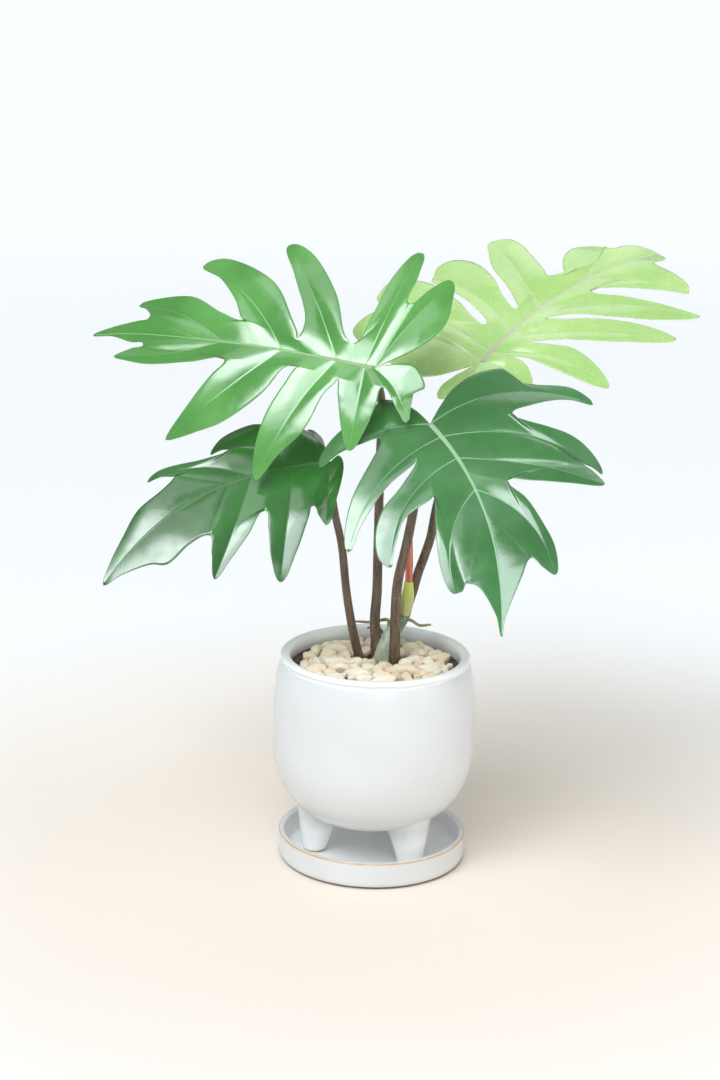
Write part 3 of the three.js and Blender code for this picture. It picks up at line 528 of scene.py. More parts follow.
def leaf_material(name, deep, fresh, vein, under, gloss, bloom_and_sheen):
    """Waxy leaf: two greens in soft clouds, pale lines along veins and margin, fine side veins, and
    pale bluish waxy patches that also serve as a painted sheen."""
    leaf = Finish(name, fresh, gloss, IOR=1.72, Coat_Weight=0.5, Coat_Roughness=0.08)
    colour = leaf.cover(deep, fresh, 22, 3, 0.35, 0.7)
    colour = leaf.cover(colour, deep, 260, 2, 0.3, 0.75, 0.18)
    # pale bluish waxy patches, partly a painted sheen standing in for the bluish reflection on the leaf
    colour = leaf.cover(colour, (0.55, 0.7, 0.6), 14, 3, 0.42, 0.7, bloom_and_sheen)
    beside = leaf.make("CombineXYZ", 0, {"X": leaf.attribute("stripe")})
    streaks = leaf.noise(0.55, 2, where=beside)
    colour = leaf.blend(leaf.ramp(streaks, 0.58, 0.7, 0.0, 0.06), colour, vein)
    near_vein = leaf.ramp(leaf.attribute("vein"), 0.1, 0.9, 1.0, 0.0)
    colour = leaf.blend(leaf.maths("MULTIPLY", near_vein, 0.2), colour, vein)
    colour = leaf.blend(leaf.ramp(leaf.attribute("edge"), 0.965, 1.0, 0.0, 0.6), colour, vein)
    colour = leaf.blend(leaf.attribute("under"), colour, under)
    leaf.set(Roughness=leaf.ramp(leaf.noise(140, 3), 0.3, 0.8, gloss - 0.05, gloss + 0.08))
    height = leaf.maths("ADD", leaf.maths("MULTIPLY", streaks, 0.3), leaf.noise(70, 2))
    return leaf.done(colour, height, 0.0004, 0.4)


def rib_material(name, pale, root):
    """Midribs and veins: pale green, tinted towards the leaf's base."""
    rib = Finish(name, pale, 0.4)
    colour = rib.blend(rib.ramp(rib.attribute("along"), 0.0, 70.0, 0.75, 0.0), pale, root)
    return rib.done(rib.cover(colour, root, 420, 2, 0.35, 0.7, 0.2), rib.noise(500, 2), 0.0001)


def skin_material(name, dark, light, tint, tinted, speck, specks, roughness):
    """Fleshy stalk: two tones in long streaks, fine pale specks, and a tint that grows between the
    two distances `tinted` along it, in millimetres."""
    skin = Finish(name, dark, roughness)
    streaky = skin.make("Mapping", 0, {"Vector": skin.place, "Scale": (1.0, 1.0, 0.16)})
    colour = skin.cover(dark, light, 320, 3, 0.35, 0.68, where=streaky)
    colour = skin.blend(skin.ramp(skin.attribute("along"), *tinted, 0.0, 0.8), colour, tint)
    sparse = skin.ramp(skin.noise(420, 2), 0.45, 0.6)
    dots = skin.maths("MULTIPLY", skin.dots(800.0, 0.15, 0.35), sparse)
    colour = skin.blend(skin.maths("MULTIPLY", dots, specks), colour, speck)
    return skin.done(colour, skin.maths("ADD", dots, skin.noise(500, 3, where=streaky)), 0.00012)


def floor_material(near, far):
    """Floor: a warm pale colour about the pot that fades outwards to near white."""
    floor = Finish("pale_floor", far, 0.7)
    reach = floor.make("VectorMath", "Value", {0: floor.place}, operation="LENGTH")
    colour = floor.blend(floor.ramp(reach, 0.15, 0.65), near, far)
    glow = floor.ramp(reach, 0.5, 4.0, 0.0, FAR_FLOOR_GLOW)
    colour = floor.cover(colour, near, 1.4, 2, 0.3, 0.7, 0.03)
    floor.set(Base_Color=colour, Emission_Color=far, Emission_Strength=glow)
    return floor.owner


def glaze_material():
    """White glaze: faint clouds, painted light that whitens the lip's top, the pot's inner neck and all
    that lies low inside the saucer, for light on the lip and in the shade of these hollows, rare dark
    specks, tan clay where it thins on an edge, and a dark line under the saucer: a painted contact shadow."""
    glaze = Finish("white_glaze", (0.73, 0.73, 0.725), 0.3, Coat_Weight=0.3, Coat_Roughness=0.12)
    white = glaze.cover((0.675, 0.69, 0.695), (0.65, 0.66, 0.66), 16, 3, 0.35, 0.7)
    height = glaze.make("SeparateXYZ", "Z", {"Vector": glaze.place})
    level = glaze.make("VectorMath", 0, {0: glaze.place, 1: (1.0, 1.0, 0.0)}, operation="MULTIPLY")
    radius = glaze.make("VectorMath", "Value", {0: level}, operation="LENGTH")
    # painted light: the lip's top, the pot's inner neck and all that lies low inside the saucer are whitened,
    # standing in for light on the lip and for light in the shade of these hollows
    lip = glaze.ramp(height, 0.1425, 0.1445)
    deep = glaze.maths("ADD", glaze.ramp(height, 0.02, 0.034, 1.0, 0.0), glaze.ramp(height, 0.134, 0.139))
    inside = glaze.maths("MULTIPLY", deep, glaze.ramp(radius, 0.0615, 0.0635, 1.0, 0.0))
    white = glaze.blend(glaze.maths("MAXIMUM", lip, inside), white, (0.88, 0.885, 0.88))
    # painted shadow: a dark line along the saucer's bottom edge stands in for the contact shadow under it
    white = glaze.blend(glaze.ramp(height, 0.0011, 0.0019, 0.95, 0.0), white, (0.06, 0.04, 0.03))
    rare = glaze.ramp(glaze.noise(75, 1), 0.68, 0.72)
    specks = glaze.maths("MULTIPLY", glaze.dots(170.0, 0.06, 0.16), rare)
    colour = glaze.blend(glaze.maths("MULTIPLY", specks, 0.7), white, (0.28, 0.24, 0.2))
    bare = glaze.attribute("bare")
    uneven = glaze.maths("MULTIPLY", bare, glaze.ramp(glaze.noise(130, 3), 0.25, 0.6, 0.75, 1.0))
    glaze.set(Roughness=glaze.ramp(bare, 0.2, 0.9, 0.27, 0.6))
    return glaze.done(glaze.blend(uneven, colour, (0.52, 0.33, 0.15)), glaze.noise(45, 2), 0.00035, 0.35)


def stone_material():
    """Cream, beige and pinkish stone: colour by stone, blotches, and small hollows, sunk by the bump and
    darkened with painted shade.
    """
    stone = Finish("pebble_stone", (0.85, 0.75, 0.6), 0.85)
    tint = stone.attribute("tint")
    colour = stone.blend(stone.ramp(tint, 0.0, 0.55), (0.87, 0.73, 0.54), (0.93, 0.83, 0.68))
    colour = stone.blend(stone.ramp(tint, 0.78, 0.86), colour, (0.84, 0.69, 0.52))
    colour = stone.blend(stone.ramp(tint, 0.95, 0.97), colour, (0.5, 0.46, 0.36))
    colour = stone.cover(colour, (0.84, 0.68, 0.46), 160, 4, 0.45, 0.72, 0.3)
    # painted shade: small hollows, sunk by the bump, are darkened in colour as if shade lay in them
    shaded_pits = stone.ramp(stone.noise(650, 3, 0.6), 0.3, 0.42, 1.0, 0.0)
    colour = stone.blend(stone.maths("MULTIPLY", shaded_pits, 0.45), colour, (0.5, 0.4, 0.28))
    return stone.done(colour, stone.maths("SUBTRACT", stone.noise(420, 5, 0.65), shaded_pits), 0.0006, 0.7)


def soil_material():
    """Dark potting mix: brown and black crumbs with a few pale ones."""
    soil = Finish("potting_soil", (0.09, 0.055, 0.035), 0.95)
    colour = soil.cover((0.05, 0.032, 0.022), (0.16, 0.1, 0.06), 380, 4, 0.35, 0.65)
    colour = soil.cover(colour, (0.4, 0.33, 0.25), 700, 1, 0.7, 0.75)
    return soil.done(colour, soil.noise(600, 5, 0.7), 0.0012)


# Saucer and pot


def saucer_sheet():
    """The saucer's section turned about Z. The outer edge of the rim is bare of glaze."""
    edge, top, inner = SAUCER_RADIUS, SAUCER_HEIGHT, SAUCER_RADIUS - SAUCER_WALL
    underside = [(0, 0), (30, 0), (edge - 3, 0), (edge - 1.2, 1.4), (edge - 0.3, 4)]
    rim = [
        (edge - 0.05, top - 4), (edge, top - 2.2), (edge, top - 0.8), (edge - 0.8, top),
        (edge - 1.6, top), (inner + 1.2, top), (inner, top - 1.2),
    ]
    inside = [
        (inner - 0.4, SAUCER_FLOOR + 2.5), (inner - 2.6, SAUCER_FLOOR), (25, SAUCER_FLOOR), (0, SAUCER_FLOOR),
    ]
    profile = rounded(underside + rim + inside, 5)
    from_edge = np.hypot(*(profile - (edge - 0.2, top - 0.5)).T)
    return Sheet().lathe(profile, bare=np.clip(BARE_EDGE_FULL - from_edge / BARE_EDGE_FADE, 0, 1))


def bowl_arc(inset, floor, steps):
    """The bowl's section: a quarter ellipse from the flat base out to the straight side."""
    angle = np.linspace(0, math.pi / 2, steps)
    radius = POT_BASE_RADIUS - inset + (POT_RADIUS - POT_BASE_RADIUS) * np.sin(angle)
    return np.stack([radius, POT_BOWL_TOP - (POT_BOWL_TOP - floor) * np.cos(angle)], 1)


def bowl_level(radius):
    """Height of the bowl's outside at a radius: the same quarter ellipse solved for its height."""
    share = np.clip((radius - POT_BASE_RADIUS) / (POT_RADIUS - POT_BASE_RADIUS), 0, 1)
    return POT_BOWL_TOP - (POT_BOWL_TOP - POT_BASE_LEVEL) * np.sqrt(1 - share**2)


def inside_profile(inset):
    """The inside of the pot from its floor up to the soil's top, `inset` mm further in."""
    upper = [
        (POT_RADIUS - POT_WALL - inset, POT_STRAIGHT_TOP), (POT_RADIUS - POT_WALL - 1 - inset, 118),
        (LIP_INNER_RADIUS + 3 - inset, 132), (LIP_INNER_RADIUS - inset, SOIL_LEVEL),
    ]
    return np.vstack([bowl_arc(POT_WALL + inset, INNER_FLOOR + inset, 12), smooth_curve(upper, 12)])


def add_foot(sheet, angle):
    """A foot: a leaning cone from its sole up into the bowl. Its radius grows evenly, and flares by
    an exponential of the distance to the bowl. Each point's top is found by repeating the sum with
    the bowl's height where the last one ended."""
    rows, sides = 26, 48
    sole = SAUCER_FLOOR + TOUCH_GAP
    around = turns(sides)[None, :]
    share = np.linspace(0, 1, rows)[:, None] ** 0.8
    top = np.full((1, sides), FOOT_TOP_LEVEL - 4.0)
    for _ in range(6):
        level = sole + (top - sole) * share
        up = (level - sole) / (FOOT_TOP_LEVEL - sole)
        ring = FOOT_RING_RADIUS + (FOOT_TOP_RING_RADIUS - FOOT_RING_RADIUS) * up
        radius = FOOT_RADIUS + (FOOT_TOP_RADIUS - FOOT_RADIUS) * up
        radius = radius + FOOT_FLARE * np.exp((level - top) / FOOT_FLARE)
        rounding = np.clip((level - sole) / FOOT_ROUNDING_HEIGHT, 0, 1)
        radius = radius - FOOT_ROUNDING * (1 - np.sqrt(1 - (1 - rounding) ** 2))
        x = ring * math.cos(math.radians(angle)) + radius * np.cos(around)
        y = ring * math.sin(math.radians(angle)) + radius * np.sin(around)
        top = bowl_level(np.hypot(x[-1:], y[-1:])) + FOOT_SINK
    points = np.stack([x, y, level], -1).reshape(-1, 3)
    points = np.vstack([points, points[:sides].mean(0), points[-sides:].mean(0)])
    bare = np.clip(1 - (points[:, 2] - sole) / BARE_SOLE, 0, 1)
    sheet.add(points, capped_faces(rows, sides), bare=bare)


def pot_sheet():
    """The pot's wall as one closed ring section turned about Z, and its three feet."""
    low, top = POT_BASE_LEVEL, POT_HEIGHT
    side = [
        (POT_RADIUS, POT_STRAIGHT_TOP), (POT_RADIUS - 0.5, 118), (POT_RADIUS - 2.1, 133),
        (POT_RADIUS - 3.9, 140), (NECK_RADIUS + 0.3, top - 5.4),
    ]
    lip = [
        (NECK_RADIUS - 0.6, top - 4.6), (NECK_RADIUS - 0.5, top - 3.7), (LIP_RADIUS - 0.3, top - 3),
        (LIP_RADIUS, top - 1.8), (LIP_RADIUS - 1.2, top - 0.4), (LIP_RADIUS - 3, top),
        (LIP_INNER_RADIUS + 2, top - 0.5), (LIP_INNER_RADIUS + 0.2, top - 2.4),
    ]
    base = rounded([(DRAIN_RADIUS, low + 1), (DRAIN_RADIUS + 0.8, low), (20, low)])
    outside = np.vstack([base, bowl_arc(0, low, 48), smooth_curve(side, 30)[1:], rounded(lip)])
    inside = np.vstack([inside_profile(0)[::-1], [(DRAIN_RADIUS, INNER_FLOOR)]])
    sheet = Sheet().lathe(np.vstack([outside, inside]), ring=True)
    for angle in FOOT_ANGLES:
        add_foot(sheet, angle)
    return sheet


# Filling


def soil_sheet():
    """The soil's section turned about Z, its top roughened by two scales of waves."""
    arch = [
        (0, INNER_FLOOR + 7), (DRAIN_RADIUS, INNER_FLOOR + 6), (DRAIN_RADIUS + 2, INNER_FLOOR + TOUCH_GAP),
    ]
    top = [(r, SOIL_LEVEL) for r in np.linspace(LIP_INNER_RADIUS - TOUCH_GAP, 1.5, 44)] + [(0, SOIL_LEVEL)]

    def crumbs(x, y, z):
        rough = 0.45 * waves(x, y, z, 1.6, 3, 8) + 0.35 * waves(x, y, z, 0.7, 4, 8)
        inside = np.clip((LIP_INNER_RADIUS - 1 - np.hypot(x, y)) / 3, 0, 1)
        return np.where(z > SOIL_LEVEL - 0.5, rough * inside, 0.0)

    return Sheet().lathe(np.vstack([arch, inside_profile(TOUCH_GAP)[:-1], top]), 120, lift=crumbs)


def pebble_places():
    """Large pebbles as listed, then ever smaller ones on a sunflower spiral, clear of those before
    them and of the stalks. Each is x, y, half length, half width, half height, turn."""
    draw = np.random.default_rng(SEED)
    places = list(LARGE_PEBBLES)
    for reach in SMALLER_PEBBLES:
        for i in range(PEBBLE_TRIES):
            half = reach * draw.uniform(0.85, 1.15)
            ring = (PEBBLE_RADIUS - half * 0.8) * math.sqrt((i + 0.5) / PEBBLE_TRIES)
            angle = i * GOLDEN_ANGLE + draw.uniform(0, 0.3)
            x, y = ring * math.cos(angle), PEBBLE_SHIFT + ring * math.sin(angle)
            flatness, turn = draw.uniform(0.68, 0.92), draw.uniform(0, 360)
            clear = all(math.hypot(p[0] - x, p[1] - y) > 0.78 * (half + (p[2] + p[3]) / 2) for p in places)
            free = all(math.hypot(sx - x, sy - y) > half + r - 0.5 for sx, sy, r in STALK_FEET)
            if clear and free and len(places) < PEBBLE_COUNT:
                places.append((x, y, half, half * flatness, half * 0.72, turn))
    return places


def pebbles_sheet():
    """Each pebble is a sphere cut flatter on a few sides, pushed in and out by waves, stretched to
    its half lengths, tilted and set down on the soil."""
    rows, sides = 12, 22
    down, around = np.linspace(0.0, math.pi, rows + 2)[1:-1, None], turns(sides)[None, :]
    ball = np.broadcast_arrays(np.sin(down) * np.cos(around), np.sin(down) * np.sin(around), -np.cos(down))
    ball = np.vstack([np.stack(ball, -1).reshape(-1, 3), [(0, 0, -1)], [(0, 0, 1)]])
    faces = capped_faces(rows, sides)
    draw = np.random.default_rng(SEED + 1)
    sheet = Sheet()
    for i, (x, y, length, width, height, turn) in enumerate(pebble_places()):
        shape = ball.copy()
        for _ in range(PEBBLE_CUTS):
            direction = unit(draw.normal(size=3))
            over = np.maximum(shape @ direction - draw.uniform(0.56, 0.86), 0)
            shape -= over[:, None] * direction * PEBBLE_CUT_DEPTH
        size = 1 + 0.07 * waves(*ball.T, 0.55, SEED + 10 * i)
        size = size + 0.025 * waves(*ball.T, 0.22, SEED + 10 * i + 1)
        shape *= size[:, None] * 1.06 * np.array([length, width, height])
        tilt, heading = math.radians(draw.uniform(-PEBBLE_TILT, PEBBLE_TILT)), math.radians(turn)
        spin = np.array(Matrix.Rotation(heading, 3, "Z") @ Matrix.Rotation(tilt, 3, "X"))
        level = SOIL_LEVEL + TOUCH_GAP + PEBBLE_BED + 0.25 * height
        sheet.add(shape @ spin.T + (x, y, level), faces, tint=draw.uniform(0, 1))
    return sheet


# Stem and stalks


def stem_sheet():
    """The stem: its radius swells at leaf scars, a bump like a bell curve at each, and it carries
    three thin roots in the air."""
    rows, sides = 90, 40
    share, angles = np.linspace(0, 1, rows)[:, None], turns(sides)
    rough = waves(np.cos(angles) * 4, np.sin(angles) * 4, share * 55, 2.2, 8)
    radii = spread(STEM["radii"], rows)[:, None] + 0.28 * rough
    for scar in LEAF_SCARS:
        radii = radii + SCAR_HEIGHT * np.exp(-(((share - scar) / SCAR_WIDTH) ** 2))
    sheet = Sheet().tube(smooth_curve(STEM["route"], rows), radii, sides)
    for root in AERIAL_ROOTS:
        line = smooth_curve(root["route"], 40)
        line = line + 0.25 * np.stack([waves(*line.T, 3.0, seed) for seed in (21, 22, 23)], 1)
        sheet.tube(line, spread(root["radii"], 40), 12, look=1)
    return sheet


def sheath_sheet():
    """The sheath: a tube that swells and narrows, with fine ribs round it, fuller on one side."""
    rows, sides = 40, 36
    angles, share = turns(sides)[None, :], np.linspace(0, 1, rows)[:, None]
    ribbed = spread(SHEATH["radii"], rows)[:, None] * (1 + 0.035 * np.sin(9 * angles + 3 * share))
    return Sheet().tube(smooth_curve(SHEATH["route"], rows), ribbed + 0.1 * np.cos(angles - 1) * share, sides)


def spear_sheet():
    """The rolled leaf: a tapering tube whose radius grows round it by a spiral, so that the free
    edge of the roll shows as one long step that winds up it."""
    rows, sides = 90, 36
    angles, share = turns(sides)[None, :], np.linspace(0, 1, rows)[:, None]
    roll = np.mod(angles - 2.2 - 4.5 * share, 2 * math.pi) / (2 * math.pi)
    radii = spread(SPEAR["radii"], rows)[:, None] * (0.9 + 0.16 * roll)
    return Sheet().tube(smooth_curve(SPEAR["route"], rows), radii, sides)


def stalk_sheet(shape, leaf):
    """A leaf stalk: its centre line, carried on to the blade's junction and slimmer there, with a
    shallow channel down its upper side, shaped like a bell curve."""
    path = smooth_curve(shape["route"], 120)
    radii = spread(shape["radii"], len(path))
    along, _, out = leaf_axes(leaf)
    end = leaf["junction"] - out * 1.2 + along * 2.5
    bridge = smooth_curve([path[-2], path[-1], 0.5 * (path[-1] + end), end], 14)[5:]
    radii = np.concatenate([radii, np.linspace(radii[-1], radii[-1] * 0.72, len(bridge))])
    sides = 28
    channel = 1 - 0.08 * np.exp(-((np.mod(turns(sides) - 1.2, 2 * math.pi) - 0.6) / 0.5) ** 2)
    return Sheet().tube(np.vstack([path, bridge]), radii[:, None] * channel, sides)


# Leaf blades


def leaf_axes(leaf):
    """Unit vectors of the flat leaf: along it, across to its left, and out of its upper face."""
    turn, rise = (math.radians(angle) for angle in leaf["faces"])
    out = np.array([math.cos(rise) * math.cos(turn), math.cos(rise) * math.sin(turn), math.sin(rise)])
    along = unit(leaf["tip_direction"] - out * np.dot(leaf["tip_direction"], out))
    return along, np.cross(out, along), out


def midrib_at(leaf, along):
    """The midrib in the flat leaf: a straight line to the tip, bowed sideways by a parabola."""
    along = np.asarray(along, float)
    share = along / leaf["tip"][0]
    return np.stack([along, leaf["tip"][1] * share + 4 * leaf["bow"] * share * (1 - share)], -1)


def vein_at(root, tip, bow, share):
    """A lobe's vein: a straight line from root to tip, bowed by a parabola to the leaf's base."""
    share = np.asarray(share, float)[..., None]
    step = np.array(tip, float) - root
    side = -1 if step[1] > 0 else 1
    bulge = side * 4 * bow * share * (1 - share) / np.hypot(*step)
    return root + step * share + bulge * np.array([step[1], -step[0]])


def fine_steps():
    """Row positions from 0 to 1 of the valley part and the margin part, and where the first ends."""
    last = VALLEY_ROWS + MARGIN_ROWS
    return np.arange(last + 1) / last, VALLEY_ROWS / last


def vein_shares(vein, cuts):
    """How far along its vein each row starts: evenly up to the mean reach of the cuts beside the
    lobe, and evenly on to its tip."""
    root = vein(0.0)
    chord = vein(1.0) - root
    reach = np.mean([np.dot(np.array(cut) - root, chord) / np.dot(chord, chord) for cut in cuts])
    split = np.clip(reach, NEAREST_CUT, FARTHEST_CUT)
    step, turn = fine_steps()
    return np.where(step < turn, split * step / turn, split + (1 - split) * (step - turn) / (1 - turn))


def rounding_slope(axis, step, radius):
    """The slope that a margin has where it turns about a lobe's tip or a cut: square to the axis
    there, on the side of `step`, with the size that gives the turn its radius, 2 sqrt(r l)."""
    square = np.array([-axis[1], axis[0]]) / np.hypot(*axis)
    length = np.hypot(*step)
    return square * math.copysign(min(2 * math.sqrt(radius * length), length), np.dot(square, step))


def droop_at(leaf, share):
    """How far a vein hangs at a share of its length: it grows by the square after a level start."""
    return leaf["droop"] * np.maximum(0, (share - DROOP_START) / (1 - DROOP_START)) ** 2


def half_lobe(leaf, vein, shares, valley, margin, blunt):
    """One half of a lobe as a grid from its vein to its edge: flat places, lift, and distances.
    The edge runs along the valley between two lobes to the cut, then along the free margin. Out
    from the vein the blade rises steeply and flattens, like 1 - (1 - t)^p, and droops to its tip.
    The rise eases off towards the leaf's own tip."""
    step, turn = fine_steps()
    margin = np.array(margin, float)
    around_tip = rounding_slope(vein(1.0) - vein(0.9), margin[-1] - margin[-2], blunt)
    if valley is None:
        on_margin, on_valley = step, np.minimum(1, 3 * step)
        edge = smooth_curve(margin, len(step), 0, end_slope=around_tip)
    else:
        on_margin, on_valley = np.maximum(0, step - turn) / (1 - turn), np.minimum(1, step / turn)
        around_cut = rounding_slope(margin[0] - valley, margin[1] - margin[0], leaf["cut_radius"])
        free = smooth_curve(margin, MARGIN_ROWS + 1, 0, around_cut, around_tip)
        edge = np.vstack([valley + (margin[0] - valley) * on_valley[:VALLEY_ROWS, None], free])
    start = vein(shares)
    t = np.linspace(0, 1, ACROSS_ROWS + 1)[None, :]
    width = np.linalg.norm(edge - start, axis=1)[:, None]
    flat = start[:, None] + (edge - start)[:, None] * t[..., None]
    own_rise = np.minimum(leaf["rise"], leaf["slope"] * width[:, 0])
    free_share = np.clip(3 * on_margin, 0, 1)
    rise = (leaf["rise"] * (1 - free_share) + own_rise * free_share) * on_valley * (1 - on_margin**2)
    onward = np.clip((edge[:, 0] / leaf["tip"][0] - EASE_START) / (1 - EASE_START), 0, 1)
    rise = rise * (1 - EASE * onward**2 * (3 - 2 * onward))
    droop = droop_at(leaf, shares)[:, None] * (1 - t) + (leaf["droop"] * on_margin**2)[:, None] * t
    lift = rise[:, None] * (1 - (1 - t) ** ARCH) - droop
    stripe = shares[:, None] * np.linalg.norm(vein(1.0) - vein(0.0)) - 0.9 * t * width
    fade = np.clip(1.15 - shares, 0.15, 1)[:, None]
    return dict(flat=flat, lift=lift, vein=t * width / fade, stripe=stripe, edge=t * on_valley[:, None] ** 6)


def side_patches(leaf, side):
    """All half lobes of one side of a leaf, and the half of its end on that side."""
    lobes, blunt, fork = leaf[side], leaf["blunt_" + side], leaf["last_fork"]
    stations = [item["station"] for item in lobes]
    stations.append(2 * fork - stations[-1])
    forks = [midrib_at(leaf, (a + b) / 2) for a, b in zip(stations, stations[1:])]
    cuts = [(0, 0)] + [item["sinus"] for item in lobes]
    patches = []
    for i, item in enumerate(lobes):

        def vein(share, root=midrib_at(leaf, item["station"]), item=item):
            return vein_at(root, item["tip"], item["bow"], share)

        shares = vein_shares(vein, cuts[i : i + 2] if i else cuts[1:2])
        near = [cuts[i], *item["near"], item["tip"]]
        far = [cuts[i + 1], *item["far"][::-1], item["tip"]]
        patches.append(half_lobe(leaf, vein, shares, forks[i - 1] if i else None, near, blunt[i]))
        patches.append(half_lobe(leaf, vein, shares, forks[i], far, blunt[i]))

    def rib(share):
        return midrib_at(leaf, fork + (leaf["tip"][0] - fork) * np.asarray(share))

    shares = vein_shares(rib, [leaf["left"][-1]["sinus"], leaf["right"][-1]["sinus"]])
    margin = [cuts[-1], *leaf[side + "_end"], leaf["tip"]]
    return patches + [half_lobe(leaf, rib, shares, midrib_at(leaf, fork), margin, blunt[-1])]


def on_leaf(leaf, flat, lift):
    """Places in space: along, across and out of the leaf's plane, less its fall at both sides,
    with a slight ripple."""
    along, across, out = leaf_axes(leaf)
    u, v = flat[..., 0], flat[..., 1]
    fall_along, fall_left, fall_right = leaf["fall"]
    fall = fall_along * u**2 + np.where(v > 0, fall_left, fall_right) * v**2
    ripple = waves(u, v, 0 * u, RIPPLE_LENGTH, SEED, 9) * np.clip(np.hypot(u, v) / 60, 0, 1)
    height = lift - fall + RIPPLE * ripple
    in_plane = u[..., None] * along + v[..., None] * across
    return leaf["junction"] + in_plane + height[..., None] * out


def blade_sheet(leaf):
    """Every half lobe's grid, merged where they meet, doubled downwards by the blade's thickness
    and closed along its margin, with a rib laid along the midrib and each vein."""
    patches = side_patches(leaf, "left") + side_patches(leaf, "right")
    faces, count = [], 0
    for patch in patches:
        flat = patch["flat"]
        quads = grid_faces(*flat.shape[:2])
        first, second = flat[1:, :-1] - flat[:-1, :-1], flat[:-1, 1:] - flat[:-1, :-1]
        area = (first[..., 0] * second[..., 1] - first[..., 1] * second[..., 0]).sum()
        faces.append((quads[:, ::-1] if area > 0 else quads) + count)
        count += flat[..., 0].size
    flat = np.vstack([patch["flat"].reshape(-1, 2) for patch in patches])
    _, first, merged = np.unique(np.round(flat, 3), axis=0, return_index=True, return_inverse=True)
    merged = merged.reshape(-1)

    def every(key):
        return np.concatenate([patch[key].reshape(-1) for patch in patches])

    def least(key):
        """The smallest value among the points that become one, for both faces."""
        smallest = np.full(len(first), np.inf)
        np.minimum.at(smallest, merged, every(key))
        return np.tile(smallest, 2)

    upper = on_leaf(leaf, flat[first], every("lift")[first])
    total = len(upper)
    clean = []
    for face in merged[np.vstack(faces)].tolist():
        kept = [v for i, v in enumerate(face) if v != face[i - 1]]
        if len(set(kept)) == len(kept) and len(kept) > 2:
            clean.append(tuple(kept))
    edges = {edge: None for face in clean for edge in zip(face, face[1:] + face[:1])}
    rim = [(b, a, total + a, total + b) for a, b in edges if (b, a) not in edges]
    lower = [tuple(total + v for v in reversed(face)) for face in clean]
    sheet = Sheet().add(
        np.vstack([upper, upper - leaf_axes(leaf)[2] * BLADE_THICKNESS]), clean + lower + rim,
        vein=least("vein"), edge=least("edge"), stripe=np.tile(every("stripe")[first], 2),
        under=np.repeat([0.0, 1.0], total),
    )
    add_ribs(sheet, leaf)
    return sheet


def add_ribs(sheet, leaf):
    """Half-sunk ribs: a tube along the midrib and one along each lobe's vein, narrowing to the
    tip, wider than high, so that little stands above the blade and more below it."""
    base, thin = leaf["rib_sizes"]
    share = np.linspace(0, RIB_END, 70)
    reach, fork = leaf["tip"][0], leaf["last_fork"]
    beyond = np.maximum(0, (share * reach - fork) / (reach - fork))
    path = on_leaf(leaf, midrib_at(leaf, share * reach), -droop_at(leaf, beyond))
    add_rib(sheet, leaf, path, thin + (base - thin) * (1 - share) ** leaf["rib_fade"], 1)
    share = np.linspace(0, VEIN_END, 40)
    radii = 0.5 * thin + (0.26 * base - 0.5 * thin) * (1 - share) ** 1.5
    for item in leaf["left"] + leaf["right"]:
        flat = vein_at(midrib_at(leaf, item["station"]), item["tip"], item["bow"], share)
        add_rib(sheet, leaf, on_leaf(leaf, flat, -droop_at(leaf, share)), radii, 2)


def add_rib(sheet, leaf, path, radii, look, sides=10):
    """A tube along the vein: `radii` wide, flat above and round below."""
    out = leaf_axes(leaf)[2]
    tangent = unit(np.gradient(path, axis=0))
    over = unit(out - tangent * (tangent @ out)[:, None])
    across = np.cross(over, tangent)
    angles = turns(sides)
    up = np.where(np.sin(angles) > 0, RIB_ABOVE, RIB_BELOW) * np.sin(angles)
    ring = across[:, None] * np.cos(angles)[:, None] + over[:, None] * up[:, None]
    sheet.add_rings(path, path[:, None] + ring * radii[:, None, None], [path[0], path[-1]], look)


# View, light and floor


def stand(name, data, spot, axes):
    """An object at a spot, turned so that its own X, Y and Z lie along the three axes."""
    thing = bpy.data.objects.new(name, data)
    turn = Matrix(np.stack(axes, 1).tolist()).to_4x4()
    thing.matrix_world = Matrix.Translation(spot) @ turn
    bpy.context.scene.collection.objects.link(thing)
    return thing


def add_camera():
    """A camera that sees the anchor at its pixel and depth, looking down by the pitch, rolled."""
    forward = np.array([0, math.cos(PITCH), -math.sin(PITCH)])
    right = np.array([1.0, 0, 0])
    down = np.array([0, -math.sin(PITCH), -math.cos(PITCH)])
    across = math.cos(ROLL) * right - math.sin(ROLL) * down
    below = math.sin(ROLL) * right + math.cos(ROLL) * down
    aside = (ANCHOR_PIXEL[0] - IMAGE_WIDTH / 2) / FOCAL_PIXELS * ANCHOR_DEPTH
    under = (ANCHOR_PIXEL[1] - IMAGE_HEIGHT / 2) / FOCAL_PIXELS * ANCHOR_DEPTH
    spot = ANCHOR - forward * ANCHOR_DEPTH - across * aside - below * under
    data = bpy.data.cameras.new("photo_view")
    data.sensor_fit, data.sensor_height = "VERTICAL", SENSOR_HEIGHT
    data.lens = FOCAL_PIXELS / IMAGE_HEIGHT * SENSOR_HEIGHT
    data.clip_start, data.clip_end = 0.05, 50.0
    bpy.context.scene.camera = stand("photo_view", data, spot, [across, -below, -forward])


def add_floor():
    """A plain pale floor: a flat grid, wide enough to reach past every view's edge."""
    side = np.linspace(-FLOOR_HALF_SIDE, FLOOR_HALF_SIDE, 9)
    points = np.stack(np.broadcast_arrays(side[None, :], side[:, None], FLOOR_LEVEL), -1)
    mesh = bpy.data.meshes.new("floor")
    mesh.from_pydata(points.reshape(-1, 3).tolist(), [], grid_faces(len(side), len(side)).tolist())
    mesh.materials.append(floor_material((0.88, 0.78, 0.69), (0.95, 0.945, 0.945)))
    stand("floor", mesh, (0, 0, 0), np.eye(3))


